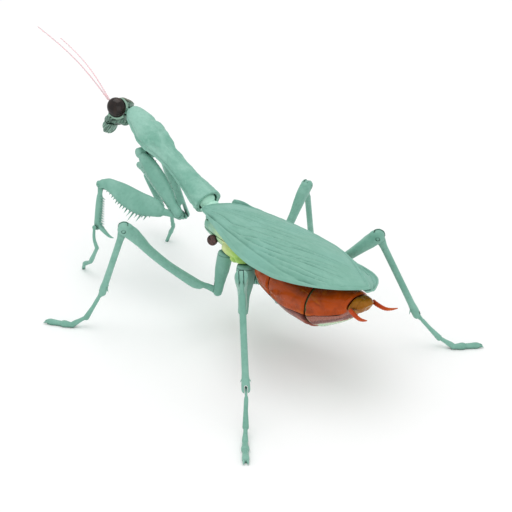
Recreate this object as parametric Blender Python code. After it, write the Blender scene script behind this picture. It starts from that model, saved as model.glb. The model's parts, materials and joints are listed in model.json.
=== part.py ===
# Articulated praying-mantis display figure: separate plastic pieces on ball, peg and pin joints.
# Lengths are in millimetres and turn into metres when a mesh is made.
# Creature frame: +X towards the head, +Y to the creature's left, +Z up, floor at z = 0.
import math
import bmesh
import bpy
from mathutils import Vector

for old in list(bpy.data.objects):
    bpy.data.objects.remove(old, do_unlink=True)

X = Vector((1.0, 0.0, 0.0))
Y = Vector((0.0, 1.0, 0.0))
Z = Vector((0.0, 0.0, 1.0))
SIGN = {"left": 1.0, "right": -1.0}

# ---------------------------------------------------------------- shared dimensions
MM = 0.001
SHIFT = Vector((-25.27, 4.12, 0.0))    # puts the middle of the whole figure over the world origin
GAP = 0.3                              # free space between neighbouring pieces
BALL_GAP = 0.35                        # free space round a ball in its socket
FORK_MARGIN = 0.1                      # extra depth of a fork slot
SHARP_ANGLE = math.radians(40.0)
TUBE_SIDES = 6

# joints shared by two or more pieces
WAIST_REAR = Vector((17.0, 0.0, 39.4))     # ball in the thorax
WAIST_FRONT = Vector((26.8, 0.0, 44.1))    # ball in the prothorax
WAIST_REAR_R, WAIST_FRONT_R = 2.0, 3.7
WAIST_DIR = (WAIST_FRONT - WAIST_REAR).normalized()
NECK_REAR = Vector((77.5, 0.0, 62.9))      # ball in the prothorax
NECK_FRONT = Vector((81.4, 0.0, 63.3))     # ball in the head
NECK_R = 1.5
NECK_DIR = (NECK_FRONT - NECK_REAR).normalized()
ABDOMEN_BALL = Vector((-7.5, 0.0, 36.0))
ABDOMEN_BALL_R = 2.2
ABDOMEN_HINGE = Vector((-47.0, 0.0, 31.0))
ABDOMEN_HINGE_R = 2.6
HIP_PEG_R, HIP_HOLE_R, HIP_PEG_LENGTH = 1.1, 1.45, 2.4
HIP_RADIUS = {"hind": 3.45, "mid": 2.85}
FORE_SHOULDER = Vector((63.5, 5.0, 52.0))
WING_HINGE = {"left": Vector((19.3, 4.0, 40.1)), "right": Vector((14.4, -5.0, 40.0))}
WING_BALL_R = 1.0


# ---------------------------------------------------------------- materials
def plastic(name, colour, roughness):
    material = bpy.data.materials.new(name)
    material.use_nodes = True
    shader = material.node_tree.nodes["Principled BSDF"]
    shader.inputs["Base Color"].default_value = (*colour, 1.0)
    shader.inputs["Roughness"].default_value = roughness
    material.diffuse_color = (*colour, 1.0)
    return material


TEAL = plastic("teal_plastic", colour=(0.21, 0.46, 0.36), roughness=0.45)
WING_TEAL = plastic("wing_plastic", colour=(0.23, 0.50, 0.40), roughness=0.42)
MINT = plastic("mint_joint_plastic", colour=(0.49, 0.86, 0.68), roughness=0.40)
LIME = plastic("lime_plastic", colour=(0.52, 0.68, 0.26), roughness=0.45)
HEAD_GREY = plastic("head_plastic", colour=(0.13, 0.22, 0.17), roughness=0.40)
EYE_BLACK = plastic("eye_gloss", colour=(0.012, 0.008, 0.006), roughness=0.08)
BROWN = plastic("brown_plastic", colour=(0.05, 0.02, 0.02), roughness=0.35)
AMBER = plastic("amber_plastic", colour=(0.48, 0.11, 0.02), roughness=0.25)
MAROON = plastic("maroon_plastic", colour=(0.14, 0.03, 0.025), roughness=0.30)
GREEN = plastic("green_joint_plastic", colour=(0.05, 0.22, 0.07), roughness=0.35)
BELLY_GREEN = plastic("belly_plastic", colour=(0.55, 0.72, 0.45), roughness=0.35)
OLIVE = plastic("olive_plastic", colour=(0.33, 0.22, 0.04), roughness=0.35)
PINK = plastic("bristle", colour=(0.72, 0.42, 0.44), roughness=0.5)


# ---------------------------------------------------------------- shapes, as (points, faces) in mm
def mirrored(point, side):
    """Point given for the left side, placed on the named side."""
    return Vector((point[0], point[1] * SIGN[side], point[2]))


def frame(along, hint):
    """Unit vectors: along, the part of hint square to it, and their cross product."""
    along = along.normalized()
    across = (hint - along * hint.dot(along)).normalized()
    return along, across, along.cross(across)


def round_frame(axis):
    """Frame of a turned shape, where the turn about the axis is free."""
    return frame(axis, Z if abs(axis.normalized().z) < 0.9 else X)


def ring(centre, across, up, half_width, half_height, n):
    angles = [2 * math.pi * (j + 0.5) / n for j in range(n)]
    return [centre + across * (half_width * math.cos(t)) + up * (half_height * math.sin(t))
            for t in angles]


def loft(rings):
    """Skin over equal rings, closed at each end by a fan round the ring's mean point."""
    n = len(rings[0])
    points = [p for one_ring in rings for p in one_ring]
    faces = []
    for i in range(len(rings) - 1):
        for j in range(n):
            a, b = i * n + j, i * n + (j + 1) % n
            faces.append((a, b, b + n, a + n))
    last = (len(rings) - 1) * n
    first_cap = len(points)
    last_cap = first_cap + 1
    points += [sum(end, Vector((0.0, 0.0, 0.0))) / n for end in (rings[0], rings[-1])]
    for j in range(n):
        k = (j + 1) % n
        faces.append((first_cap, k, j))
        faces.append((last_cap, last + j, last + k))
    return points, faces


def limb(start, end, hint, rows, n=8):
    """Loft from start towards end; rows are (distance, half width, half thickness[, offset]).
    The width lies along the hint, the thickness and offset square to it."""
    along, across, up = frame(end - start, hint)
    rings = []
    for distance, width, thickness, *offset in rows:
        centre = start + along * distance + up * (offset[0] if offset else 0.0)
        rings.append(ring(centre, across, up, width, thickness, n))
    return loft(rings)


def tube(path, radii, hint=Z, flatness=1.0):
    rings = []
    for i, (point, radius) in enumerate(zip(path, radii)):
        before, after = path[max(i - 1, 0)], path[min(i + 1, len(path) - 1)]
        _, across, up = frame(after - before, hint)
        rings.append(ring(point, across, up, radius, radius * flatness, TUBE_SIDES))
    return loft(rings)


def rod(start, end, radius, n, end_radius=None):
    end_radius = radius if end_radius is None else end_radius
    _, across, up = round_frame(end - start)
    return loft([ring(start, across, up, radius, radius, n),
                 ring(end, across, up, end_radius, end_radius, n)])


def revolve(centre, axis, rows, n):
    """Turned shape; rows are (distance along the axis, radius)."""
    along, across, up = round_frame(axis)
    return loft([ring(centre + along * x, across, up, r, r, n) for x, r in rows])


def ball_rows(radius, first, last, steps):
    """Turning rows of a ball between two levels given as shares of its radius."""
    low, high = math.asin(first), math.asin(last)
    angles = [low + (high - low) * i / (steps - 1) for i in range(steps)]
    return [(radius * math.sin(a), radius * math.cos(a)) for a in angles]


def ball(centre, radius, axis, n=12, steps=5):
    pole = 0.05 * radius
    rows = [(-radius, pole), *ball_rows(radius, -0.93, 0.93, steps), (radius, pole)]
    return revolve(centre, axis, rows, n)


def ellipsoid(centre, half_a, half_b, half_c, n=16, steps=9):
    """Ellipsoid from three half-axis vectors, its rings stacked along the third."""
    rings = []
    for i in range(steps):
        level = -math.pi / 2 + math.pi * (i + 0.5) / steps
        middle = centre + half_c * math.sin(level)
        turns = [2 * math.pi * j / n for j in range(n)]
        rings.append([middle + (half_a * math.cos(t) + half_b * math.sin(t)) * math.cos(level)
                      for t in turns])
    return loft(rings)


def block(centre, half_x, half_y, half_z):
    """Box from three half-extent vectors."""
    points = [centre + half_x * i + half_y * j + half_z * k
              for i in (-1, 1) for j in (-1, 1) for k in (-1, 1)]
    return points, [(0, 1, 3, 2), (4, 6, 7, 5), (0, 4, 5, 1), (2, 3, 7, 6), (0, 2, 6, 4), (1, 5, 7, 3)]


# cutters
def socket(centre, radius, axis, mouth, n, ball_n=12, steps=5):
    """Hollow for a ball, and its flared mouth: (start, end, start radius, end radius)."""
    start, end, start_r, end_r = mouth
    return (ball(centre, radius + BALL_GAP, axis, ball_n, steps),
            rod(centre + axis * start, centre + axis * end, start_r, n, end_r))


def fork_slot(joint, into, hinge, slot, clear_r, reach=7.0):
    """Box that opens a fork: 'into' points from the joint back into the solid shaft."""
    along, across, up = frame(into, hinge)
    depth = clear_r + GAP + FORK_MARGIN
    centre = joint + along * ((depth - reach) / 2.0)
    return block(centre, along * ((depth + reach) / 2.0), across * (slot / 2.0),
                 up * (reach - 1.0))


def cross_rod(joint, hinge, radius, half_length, n=10):
    """Rod along a hinge line, centred on the joint."""
    return rod(joint - hinge * half_length, joint + hinge * half_length, radius, n)


def below_floor(point):
    return block(Vector((point.x, point.y, -5.0)), X * 30, Y * 30, Z * 5.0)


# ---------------------------------------------------------------- objects
def mesh_object(name, shape, origin):
    """Object at origin (metres) with the shape (mm) as its mesh."""
    points, faces = shape
    mesh = bpy.data.meshes.new(name)
    mesh.from_pydata([((p + SHIFT) * MM - origin)[:] for p in points], [], faces)
    bm = bmesh.new()
    bm.from_mesh(mesh)
    bmesh.ops.triangulate(bm, faces=[f for f in bm.faces if len(f.verts) > 3])
    bmesh.ops.recalc_face_normals(bm, faces=bm.faces)
    bm.to_mesh(mesh)
    bm.free()
    ob = bpy.data.objects.new(name, mesh)
    ob.location = origin
    bpy.context.scene.collection.objects.link(ob)
    return ob


def piece(name, shape, pivot, material):
    ob = mesh_object(name, shape, (pivot + SHIFT) * MM)
    ob.data.materials.append(material)
    ob.data.shade_smooth()
    ob.data.set_sharp_from_angle(angle=SHARP_ANGLE)
    return ob


def boolean(ob, shapes, operation):
    for shape in shapes:
        helper = mesh_object(ob.name + "_tool", shape, ob.location.copy())
        helper.hide_render = True
        helper.display_type = "WIRE"
        modifier = ob.modifiers.new(operation.lower(), "BOOLEAN")
        modifier.operation = operation
        modifier.solver = "EXACT"
        modifier.object = helper


def cut(ob, *shapes):
    boolean(ob, shapes, "DIFFERENCE")


def add(ob, *shapes):
    boolean(ob, shapes, "UNION")


def joint_chain(start, lengths, angles):
    """Joints of a leg, from run lengths and (azimuth, elevation) in degrees."""
    joints = [start]
    for length, (azimuth, elevation) in zip(lengths, angles):
        a, e = math.radians(azimuth), math.radians(elevation)
        run = Vector((math.cos(e) * math.cos(a), math.cos(e) * math.sin(a), math.sin(e)))
        joints.append(joints[-1] + run * length)
    return joints


def hinge_line(first, joint, last):
    """Unit normal of the plane in which two runs bend at a joint."""
    return (joint - first).cross(last - joint).normalized()


# ---------------------------------------------------------------- walking legs
HIP = {"hind": Vector((-6.3, 5.5, 31.5)), "mid": Vector((6.1, 5.5, 31.8))}
# lengths of coxa, femur, tibia and the three tarsus runs
LEG_LENGTHS = {"hind": (18.5, 50.5, 37.9, 12.4, 6.8, 9.8),
               "mid": (17.0, 45.5, 32.5, 12.5, 6.9, 10.2)}
# azimuth and elevation in degrees of the same runs
STANCE = {
    ("hind", "left"): ((126.9, -77.1), (142.2, 42.4), (147.9, -65.1),
                       (142.1, -48.6), (140.7, -25.4), (144.4, -0.8)),
    ("hind", "right"): ((-153.0, -77.2), (-149.3, 41.8), (-115.7, -64.8),
                        (-134.5, -46.5), (-147.2, -25.2), (-120.4, -1.1)),
    ("mid", "left"): ((82.2, -77.0), (64.1, 41.2), (19.2, -68.3),
                      (49.9, -58.8), (57.7, -28.9), (35.3, -0.9)),
    ("mid", "right"): ((-118.3, -80.1), (-69.1, 34.3), (-53.9, -71.2),
                       (-19.1, -32.1), (-39.9, -19.6), (-60.0, -1.0)),
}
BOW = {"hind": -0.2, "mid": -1.9}    # femur's offset from its straight line; negative sags
TROCHANTER_W, TROCHANTER_SLOT, TROCHANTER_TONGUE = 4.0, 2.1, 1.3
KNEE_R, KNEE_W, KNEE_SLOT, KNEE_TONGUE = 2.5, 4.6, 2.2, 1.6
ANKLE_R, ANKLE_W, ANKLE_SLOT, ANKLE_TONGUE = 1.45, 3.0, 1.5, 0.9
PIN_R, PIN_HOLE_R, PIN_HOLE_HALF = 0.7, 1.0, 3.5
PIN_INSET = 0.35                     # from the knee fork's outer faces to the pin's ends


def walking_coxa(kind, side, hip, trochanter, hinge):
    """Turned about its own long axis, peg at the top, fork at the bottom."""
    length, top = LEG_LENGTHS[kind][0], HIP_RADIUS[kind]
    rows = [
        (-HIP_PEG_LENGTH, 0.6), (-HIP_PEG_LENGTH + 0.4, HIP_PEG_R), (0.35, HIP_PEG_R),
        (0.4, top * 0.72), (1.1, top * 0.93), (3.0, top), (7.5, top * 0.93),
        (length - 5.0, 2.05), (length - 1.4, 1.9), (length + 0.6, TROCHANTER_W / 2 - 0.15),
        (length + 1.5, 1.1), (length + 1.95, 0.3)]
    axis = (trochanter - hip).normalized()
    coxa = piece(f"{kind}_coxa_{side}", revolve(hip, axis, rows, 10), hip, TEAL)
    cut(coxa, fork_slot(trochanter, hip - trochanter, hinge, TROCHANTER_SLOT, 4.3))


def walking_femur(kind, side, trochanter, knee, hinge):
    """Tongue at the trochanter, swelling towards the knee fork."""
    length, bow = LEG_LENGTHS[kind][1], BOW[kind]
    tongue, fork = TROCHANTER_TONGUE / 2, KNEE_W / 2
    rows = [
        (-1.45, tongue * 0.5, 0.45), (-0.95, tongue, 1.15), (0.0, tongue, 1.5),
        (5.3, tongue, 1.35, 0.45 * bow), (6.3, 1.3, 1.6, 0.95 * bow),
        (9.5, 1.65, 1.9, 1.4 * bow), (length * 0.45, 1.55, 1.65, 1.5 * bow),
        (length * 0.7, 1.65, 1.75, 1.0 * bow), (length - 8.0, 2.05, 2.1, 0.35 * bow),
        (length - 3.5, fork, 2.5), (length, fork, KNEE_R), (length + 1.5, fork - 0.3, 1.95),
        (length + 2.4, 0.9, 0.7)]
    femur = piece(f"{kind}_femur_{side}", limb(trochanter, knee, hinge, rows), trochanter, TEAL)
    cut(femur, fork_slot(knee, trochanter - knee, hinge, KNEE_SLOT, 4.0),
        cross_rod(knee, hinge, PIN_HOLE_R, PIN_HOLE_HALF))


def walking_tibia(kind, side, knee, ankle, hinge):
    """Tongue disc in the knee fork, fork at the ankle."""
    length = LEG_LENGTHS[kind][2]
    tongue, fork = KNEE_TONGUE / 2, ANKLE_W / 2
    rows = [
        (-1.95, tongue * 0.5, 0.6), (-1.3, tongue, 1.55), (0.0, tongue, 2.0),
        (5.3, tongue, 1.3), (6.1, 1.15, 1.25), (length * 0.5, 0.95, 1.0),
        (length * 0.85, 1.05, 1.1), (length - 2.6, 1.35, 1.4), (length, fork, ANKLE_R),
        (length + 1.0, fork - 0.3, 0.95), (length + 1.4, 0.5, 0.3)]
    tibia = piece(f"{kind}_tibia_{side}", limb(knee, ankle, hinge, rows), knee, TEAL)
    cut(tibia, cross_rod(knee, hinge, PIN_HOLE_R, PIN_HOLE_HALF),
        fork_slot(ankle, knee - ankle, hinge, ANKLE_SLOT, 1.1, 4.0))


def walking_tarsus(kind, side, ankle, bend, foot, toe, hinge):
    """Tongue, long first run, short second run and a flat foot with a claw tip."""
    tongue = ANKLE_TONGUE / 2
    run = bend - ankle
    neck = (run - hinge * hinge.dot(run)).normalized()    # run's direction in the hinge plane
    dir_1, dir_2, dir_3 = run.normalized(), (foot - bend).normalized(), (toe - foot).normalized()
    tarsus = piece(f"{kind}_tarsus_{side}", limb(ankle, ankle + neck, hinge, [
        (-1.05, tongue * 0.5, 0.3), (-0.7, tongue, 0.85), (0.0, tongue, 1.1),
        (2.2, tongue, 0.8), (3.1, tongue * 0.9, 0.5)]), ankle, TEAL)
    add(tarsus,
        tube([ankle + neck * 2.0, ankle + neck * 3.0 + dir_1 * 0.3, ankle + run * 0.55,
              bend - dir_1 * 2.6, bend + dir_1 * 0.5, bend + dir_1 * 1.2],
             [0.35, 0.72, 0.75, 0.9, 1.15, 0.6]),
        tube([bend - dir_2 * 0.8, bend + dir_2 * 0.5, foot - dir_2 * 1.5, foot + dir_2 * 0.8],
             [0.55, 0.8, 1.0, 0.7]),
        tube([foot - dir_3 * 1.2, foot + dir_3 * 1.0, toe - dir_3 * 3.0, toe,
              toe + dir_3 * 0.9 - Z * 0.25],
             [0.75, 1.3, 1.4, 1.0, 0.3]))
    cut(tarsus, below_floor(foot))


def walking_leg(kind, side, joints):
    hip, trochanter, knee, ankle, bend, foot, toe = joints
    hinge = hinge_line(trochanter, knee, ankle)
    walking_coxa(kind, side, hip, trochanter, hinge)
    walking_femur(kind, side, trochanter, knee, hinge)
    walking_tibia(kind, side, knee, ankle, hinge)
    pin = cross_rod(knee, hinge, PIN_R, KNEE_W / 2 - PIN_INSET, n=8)
    piece(f"{kind}_knee_pin_{side}", pin, knee, TEAL)
    walking_tarsus(kind, side, ankle, bend, foot, toe, hinge)


leg_joints = {(kind, side): joint_chain(mirrored(HIP[kind], side), LEG_LENGTHS[kind], angles)
              for (kind, side), angles in STANCE.items()}
for (kind, side), joints in leg_joints.items():
    walking_leg(kind, side, joints)

# ---------------------------------------------------------------- forelegs
FORE_LENGTHS = (34.3, 38.2, 17.9)    # coxa, femur, tibia
FORE_STANCE = {                      # azimuth and elevation in degrees of the same runs
    "left": ((174.7, -26.8), (20.4, 6.2), (87.8, -81.6)),
    "right": ((-97.7, -73.7), (-4.6, 14.3), (-169.8, -52.7)),
}
FORE_TARSUS = {                      # bends of the tarsus, as offsets from the tibia's end
    "left": ((-2.0, 1.9, -8.4), (3.2, 2.2, -16.7), (8.4, 2.2, -19.6), (10.6, 1.6, -23.25)),
    "right": ((-11.6, 1.4, -4.5), (-12.9, 1.9, -6.2), (-11.0, 2.4, -10.1), (-9.1, 3.1, -14.6)),
}
FORE_TARSUS_FLATNESS = 0.999
FORE_PIN_R, FORE_PIN_HALF = 0.6, 1.6
FORE_PIN_HOLE_R, FORE_PIN_HOLE_HALF = 0.9, 3.0
SHOULDER_PEG_R, SHOULDER_HOLE_R = 1.1, 1.42
# Rows: distance, half width, half thickness, offset.
# A coxa offset is towards the upper edge, a femur offset away from the tibia.
FORE_COXA = [
    (1.0, 0.8, 0.8, 0.0), (2.2, 1.7, 1.9, 0.0), (6.0, 1.9, 2.7, 0.4), (15.0, 2.0, 3.0, 0.5),
    (24.0, 1.9, 2.5, 0.3), (29.0, 1.95, 1.9, 0.0), (33.9, 2.1, 1.8, 0.0), (35.0, 1.8, 1.3, 0.0),
    (35.6, 0.6, 0.5, 0.0)]
FORE_FEMUR = [
    (-1.5, 0.35, 0.45, 0.0), (-1.0, 0.7, 1.15, 0.0), (0.0, 0.7, 1.55, 0.0), (5.6, 0.7, 1.5, -0.9),
    (6.5, 1.3, 2.0, -1.3), (10.4, 1.75, 3.3, -0.9), (17.0, 1.95, 4.5, -1.3),
    (26.0, 1.85, 4.2, -0.3), (32.0, 1.85, 3.0, 0.9), (35.2, 1.9, 2.5, 1.2), (38.0, 1.9, 2.0, 0.3),
    (39.4, 1.6, 1.3, 0.1), (39.9, 0.6, 0.4, 0.0)]
FORE_TIBIA = [
    (-1.3, 0.3, 0.4), (-0.85, 0.65, 1.0), (0.0, 0.65, 1.35), (4.0, 0.65, 1.05), (4.8, 1.1, 1.15),
    (9.0, 1.25, 1.4), (16.2, 1.3, 1.35), (18.6, 1.2, 1.15), (19.3, 0.5, 0.5)]


def offsets_scaled(rows, factor):
    return [(x, width, thickness, offset * factor) for x, width, thickness, offset in rows]


def fore_coxa(side, shoulder, trochanter, hinge):
    """Round boss with a side peg at the shoulder, fork at the trochanter."""
    inward = Y * -SIGN[side]
    rise = 1.0 if frame(trochanter - shoulder, hinge)[2].z > 0 else -1.0
    shape = limb(shoulder, trochanter, hinge, offsets_scaled(FORE_COXA, rise))
    coxa = piece(f"fore_coxa_{side}", shape, shoulder, TEAL)
    add(coxa, rod(shoulder - inward * 1.6, shoulder + inward * 1.5, 2.1, 12),
        rod(shoulder + inward * 1.2, shoulder + inward * 4.0, SHOULDER_PEG_R, 10))
    cut(coxa, fork_slot(trochanter, shoulder - trochanter, hinge, 2.0, 6.6))


def fore_femur(side, trochanter, knee, ankle, coxa_hinge, knee_hinge):
    """Flat raptorial blade, tongue at the trochanter, fork at the knee."""
    up = frame(knee - trochanter, coxa_hinge)[2]
    back = -1.0 if up.dot(ankle - knee) > 0 else 1.0
    shape = limb(trochanter, knee, coxa_hinge, offsets_scaled(FORE_FEMUR, back))
    femur = piece(f"fore_femur_{side}", shape, trochanter, TEAL)
    cut(femur, fork_slot(knee, trochanter - knee, knee_hinge, 1.9, 4.2, 5.5),
        cross_rod(knee, knee_hinge, FORE_PIN_HOLE_R, FORE_PIN_HOLE_HALF))


def fore_tibia(side, knee, ankle, hinge, outward):
    """Tongue disc, plain shaft, hooked claw beyond the tarsal joint."""
    tibia = piece(f"fore_tibia_{side}", limb(knee, ankle, hinge, FORE_TIBIA), knee, TEAL)
    along, _, up = frame(ankle - knee, hinge)
    fold = -up    # the side on which the tibia folds against the femur
    claw = [ankle - along * 1.0 + fold * 0.6, ankle + along * 1.8 + fold * 0.9,
            ankle + along * 3.8 + fold * 2.6, ankle + along * 4.8 + fold * 5.0]
    add(tibia, tube(claw, [1.05, 0.95, 0.65, 0.2], hinge))
    cut(tibia, cross_rod(knee, hinge, FORE_PIN_HOLE_R, FORE_PIN_HOLE_HALF),
        rod(ankle + outward * 0.1, ankle + outward * 3.0, 0.85, 10))


def fore_tarsus(side, ankle, hinge, outward):
    """Round boss with a peg on the tibia's flank, then a thin bent run down to the floor."""
    offsets = [Vector(offset) for offset in FORE_TARSUS[side]]
    bends = [ankle + offset for offset in offsets]
    start = ankle + outward * 2.0
    boss = rod(ankle + outward * 1.62, ankle + outward * 2.35, 0.95, 10)
    tarsus = piece(f"fore_tarsus_{side}", boss, ankle, TEAL)
    first_run = bends[0] - ankle
    path = [start, start + first_run * 0.22, start + first_run * 0.5, *bends]
    add(tarsus, rod(ankle + outward * 0.4, ankle + outward * 1.9, 0.5, 8),
        tube(path, [0.6, 0.6, 0.65, 0.85, 0.9, 0.95, 0.6], hinge, FORE_TARSUS_FLATNESS))
    cut(tarsus, below_floor(bends[-1]))


def foreleg(side):
    shoulder, trochanter, knee, ankle = joint_chain(
        mirrored(FORE_SHOULDER, side), FORE_LENGTHS, FORE_STANCE[side])
    coxa_hinge = hinge_line(shoulder, trochanter, knee)
    knee_hinge = hinge_line(trochanter, knee, ankle)
    outward = knee_hinge if knee_hinge.y * SIGN[side] > 0 else -knee_hinge
    fore_coxa(side, shoulder, trochanter, coxa_hinge)
    fore_femur(side, trochanter, knee, ankle, coxa_hinge, knee_hinge)
    fore_tibia(side, knee, ankle, knee_hinge, outward)
    pin = cross_rod(knee, knee_hinge, FORE_PIN_R, FORE_PIN_HALF, n=8)
    piece(f"fore_knee_pin_{side}", pin, knee, TEAL)
    fore_tarsus(side, ankle, knee_hinge, outward)


for side in SIGN:
    foreleg(side)

# ---------------------------------------------------------------- thorax
THORAX_SEAM = 36.0      # level of the seam between the two shells
SEAM_HALF_GAP = 0.15
# x, half width, height above the seam, depth below the seam
THORAX = [
    (21.3, 4.5, 4.6, 1.2), (20.4, 5.1, 5.2, 2.0), (16.0, 6.0, 6.2, 3.6), (8.0, 6.8, 6.8, 5.3),
    (0.0, 6.9, 7.1, 6.0), (-6.0, 6.7, 6.8, 6.0), (-9.6, 5.6, 5.8, 4.6)]
# swollen flank between the two hips: its ends, and rows of distance, half width, half thickness
FLANK_FRONT, FLANK_REAR = (7.6, 5.0, 33.4), (-7.8, 5.0, 33.0)
FLANK = [(0.0, 1.0, 0.9), (1.6, 2.6, 2.2), (5.0, 3.0, 2.7),
         (10.4, 3.0, 2.7), (13.8, 2.6, 2.2), (15.4, 1.0, 0.9)]
ABDOMEN_MOUTH = (-0.4, -5.0, 2.1, 3.6)
THORAX_PEG, THORAX_PEG_DIR = (12.6, 6.9, 33.9), (-0.34, 0.9, 0.16)
THORAX_PEG_ROWS = [(-2.6, 1.1), (-0.6, 1.1), (-0.55, 1.9), (0.5, 2.1),
                   (1.1, 1.7), (1.15, 1.3), (0.8, 1.25), (0.75, 0.4)]    # distance, radius


def thorax_half_ring(x, half_width, height, sign, steps=8):
    angles = [math.pi * j / steps for j in range(steps + 1)]
    return [Vector((x, half_width * math.cos(t),
                    THORAX_SEAM + sign * (SEAM_HALF_GAP + height * math.sin(t))))
            for t in angles]


def thorax_upper_shell():
    rings = [thorax_half_ring(x, width, height, 1.0) for x, width, height, _ in THORAX]
    upper = piece("thorax_upper_shell", loft(rings), ABDOMEN_BALL, LIME)
    cut(upper, *socket(WAIST_REAR, WAIST_REAR_R, WAIST_DIR, (0.6, 6.0, 2.05, 3.6), 14),
        *socket(ABDOMEN_BALL, ABDOMEN_BALL_R, X, ABDOMEN_MOUTH, 14))
    for hinge in WING_HINGE.values():
        cut(upper, ball(hinge, WING_BALL_R + BALL_GAP, Z, 10),
            block(hinge + Vector((1.2, 0.0, 3.0)), X * 2.5, Y * 1.25, Z * 3.0))


def thorax_lower_shell():
    rings = [thorax_half_ring(x, width, depth, -1.0) for x, width, _, depth in THORAX]
    lower = piece("thorax_lower_shell", loft(rings), ABDOMEN_BALL, LIME)
    for side in SIGN:
        add(lower, limb(mirrored(FLANK_FRONT, side), mirrored(FLANK_REAR, side), Y, FLANK, 12))
    cut(lower, *socket(ABDOMEN_BALL, ABDOMEN_BALL_R, X, ABDOMEN_MOUTH, 14))
    for (kind, _), (hip, trochanter, *_) in leg_joints.items():
        axis = (trochanter - hip).normalized()
        cut(lower, rod(hip + axis * 0.05, hip + axis * 9.0, HIP_RADIUS[kind] + 0.4, 16),
            rod(hip - axis * (HIP_PEG_LENGTH + 0.3), hip + axis * 1.0, HIP_HOLE_R, 12))
    return lower


def thorax_peg(side, lower_shell):
    """Brown peg on the flank, in front of the middle hip."""
    centre = mirrored(THORAX_PEG, side)
    outward = mirrored(THORAX_PEG_DIR, side).normalized()
    piece(f"thorax_peg_{side}", revolve(centre, outward, THORAX_PEG_ROWS, 16), centre, BROWN)
    cut(lower_shell, rod(centre - outward * 2.95, centre + outward * 2.0, 1.4, 12),
        rod(centre - outward * 0.9, centre + outward * 3.0, 2.45, 14))


thorax_upper_shell()
thorax_lower = thorax_lower_shell()
for side in SIGN:
    thorax_peg(side, thorax_lower)


# ---------------------------------------------------------------- waist link
def waist_link():
    """Two balls joined by a neck with a flattened collar."""
    length = (WAIST_FRONT - WAIST_REAR).length
    front_ball = ball_rows(WAIST_FRONT_R, -0.72, 0.85, 6)
    rows = [    # distance from the rear ball, half width, half height
        (-WAIST_REAR_R, 0.3, 0.3),
        *[(x, r, r) for x, r in ball_rows(WAIST_REAR_R, -0.85, 0.6, 5)],
        (2.2, 1.55, 1.55), (length - 6.7, 1.6, 1.6), (length - 6.4, 2.2, 2.0),
        (length - 5.4, 3.1, 2.4), (length - 4.3, 3.4, 2.5), (length - 3.7, 2.4, 2.2),
        *[(length + x, r, r) for x, r in front_ball],
        (length + WAIST_FRONT_R, 0.5, 0.5)]
    piece("waist_ball", limb(WAIST_REAR, WAIST_FRONT, Y, rows, 14), WAIST_REAR, MINT)


waist_link()

# ---------------------------------------------------------------- prothorax
PROTHORAX_REAR = Vector((24.9, 0.0, 43.3))
PROTHORAX_AXIS = Vector((0.915, 0.0, 0.403)).normalized()
PROTHORAX_UP = PROTHORAX_AXIS.cross(Y).normalized()
PROTHORAX_LENGTH = 55.4
# distance from the rear rim, half width, half height, rise
PROTHORAX = [
    (0.0, 4.75, 4.6, 0.0), (1.2, 4.85, 4.65, 0.0), (12.0, 3.9, 4.1, -0.5), (24.0, 3.6, 3.8, -0.8),
    (32.0, 4.7, 4.3, -1.1), (37.0, 6.1, 4.9, -1.2), (40.5, 6.4, 5.0, -1.3), (44.5, 5.5, 4.7, -1.3),
    (49.5, 4.6, 4.1, -1.2), (53.0, 4.0, 3.4, -1.1), (PROTHORAX_LENGTH, 2.9, 2.4, -1.0)]
# distance, share of the half width, share of the half height
STERNUM = [(0.0, 0.86, 1.05), (6.0, 0.84, 1.05), (14.0, 0.66, 0.90), (30.0, 0.62, 0.82),
           (PROTHORAX_LENGTH, 0.62, 0.82)]
FLANGE = -0.42          # level of the pronotum's lower rim as a share of the half height
# shoulder block: distance downwards, half width, half thickness
SHOULDER_BLOCK = [(0.0, 2.2, 3.2), (1.5, 2.8, 3.4), (4.6, 2.8, 2.5), (5.6, 1.8, 1.6)]


def interpolate(table, x):
    """Values of a station table at x, which is the table's first column."""
    for (x0, *values_0), (x1, *values_1) in zip(table, table[1:]):
        if min(x0, x1) <= x <= max(x0, x1):
            share = (x - x0) / (x1 - x0)
            return [a + (b - a) * share for a, b in zip(values_0, values_1)]


def arch_angles(level, steps=14):
    """Angles over the top of an oval, from one rim to the other."""
    start = math.asin(level)
    return [start + (math.pi - 2 * start) * j / steps for j in range(steps + 1)]


def pronotum_ring(distance, half_width, half_height, rise):
    centre = PROTHORAX_REAR + PROTHORAX_AXIS * distance + PROTHORAX_UP * rise
    return [centre + Y * (half_width * math.cos(t)) + PROTHORAX_UP * (half_height * math.sin(t))
            for t in arch_angles(FLANGE)]


def prosternum_ring(distance, half_width, half_height, rise, steps=8):
    centre = PROTHORAX_REAR + PROTHORAX_AXIS * distance + PROTHORAX_UP * rise
    width_share, depth_share = interpolate(STERNUM, distance)
    points = []
    for j in range(steps + 1):
        t = math.pi * j / steps
        height = FLANGE * half_height - GAP - (depth_share + FLANGE) * half_height * math.sin(t)
        points.append(centre + Y * (half_width * width_share * math.cos(t))
                      + PROTHORAX_UP * height)
    return points


def prothorax_shell(name, ring_at):
    shell = piece(name, loft([ring_at(*row) for row in PROTHORAX]), WAIST_FRONT, TEAL)
    waist_mouth = (-0.2, -4.0, 4.02, 4.1)
    neck_mouth = (0.2, 6.0, 1.8, 3.4)
    cut(shell, *socket(WAIST_FRONT, WAIST_FRONT_R, PROTHORAX_AXIS, waist_mouth, 16, 14, 7),
        *socket(NECK_REAR, NECK_R, PROTHORAX_AXIS, neck_mouth, 12))
    return shell


def shoulder_block(prosternum):
    """Block under the prosternum, bored for the two coxa pegs."""
    x, z = FORE_SHOULDER.x, FORE_SHOULDER.z
    add(prosternum, limb(Vector((x - 0.6, 0, z + 2.8)), Vector((x, 0, z - 2.6)), Y,
                         SHOULDER_BLOCK, 10))
    cut(prosternum, rod(Vector((x, -6.0, z)), Vector((x, 6.0, z)), SHOULDER_HOLE_R, 12))


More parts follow.
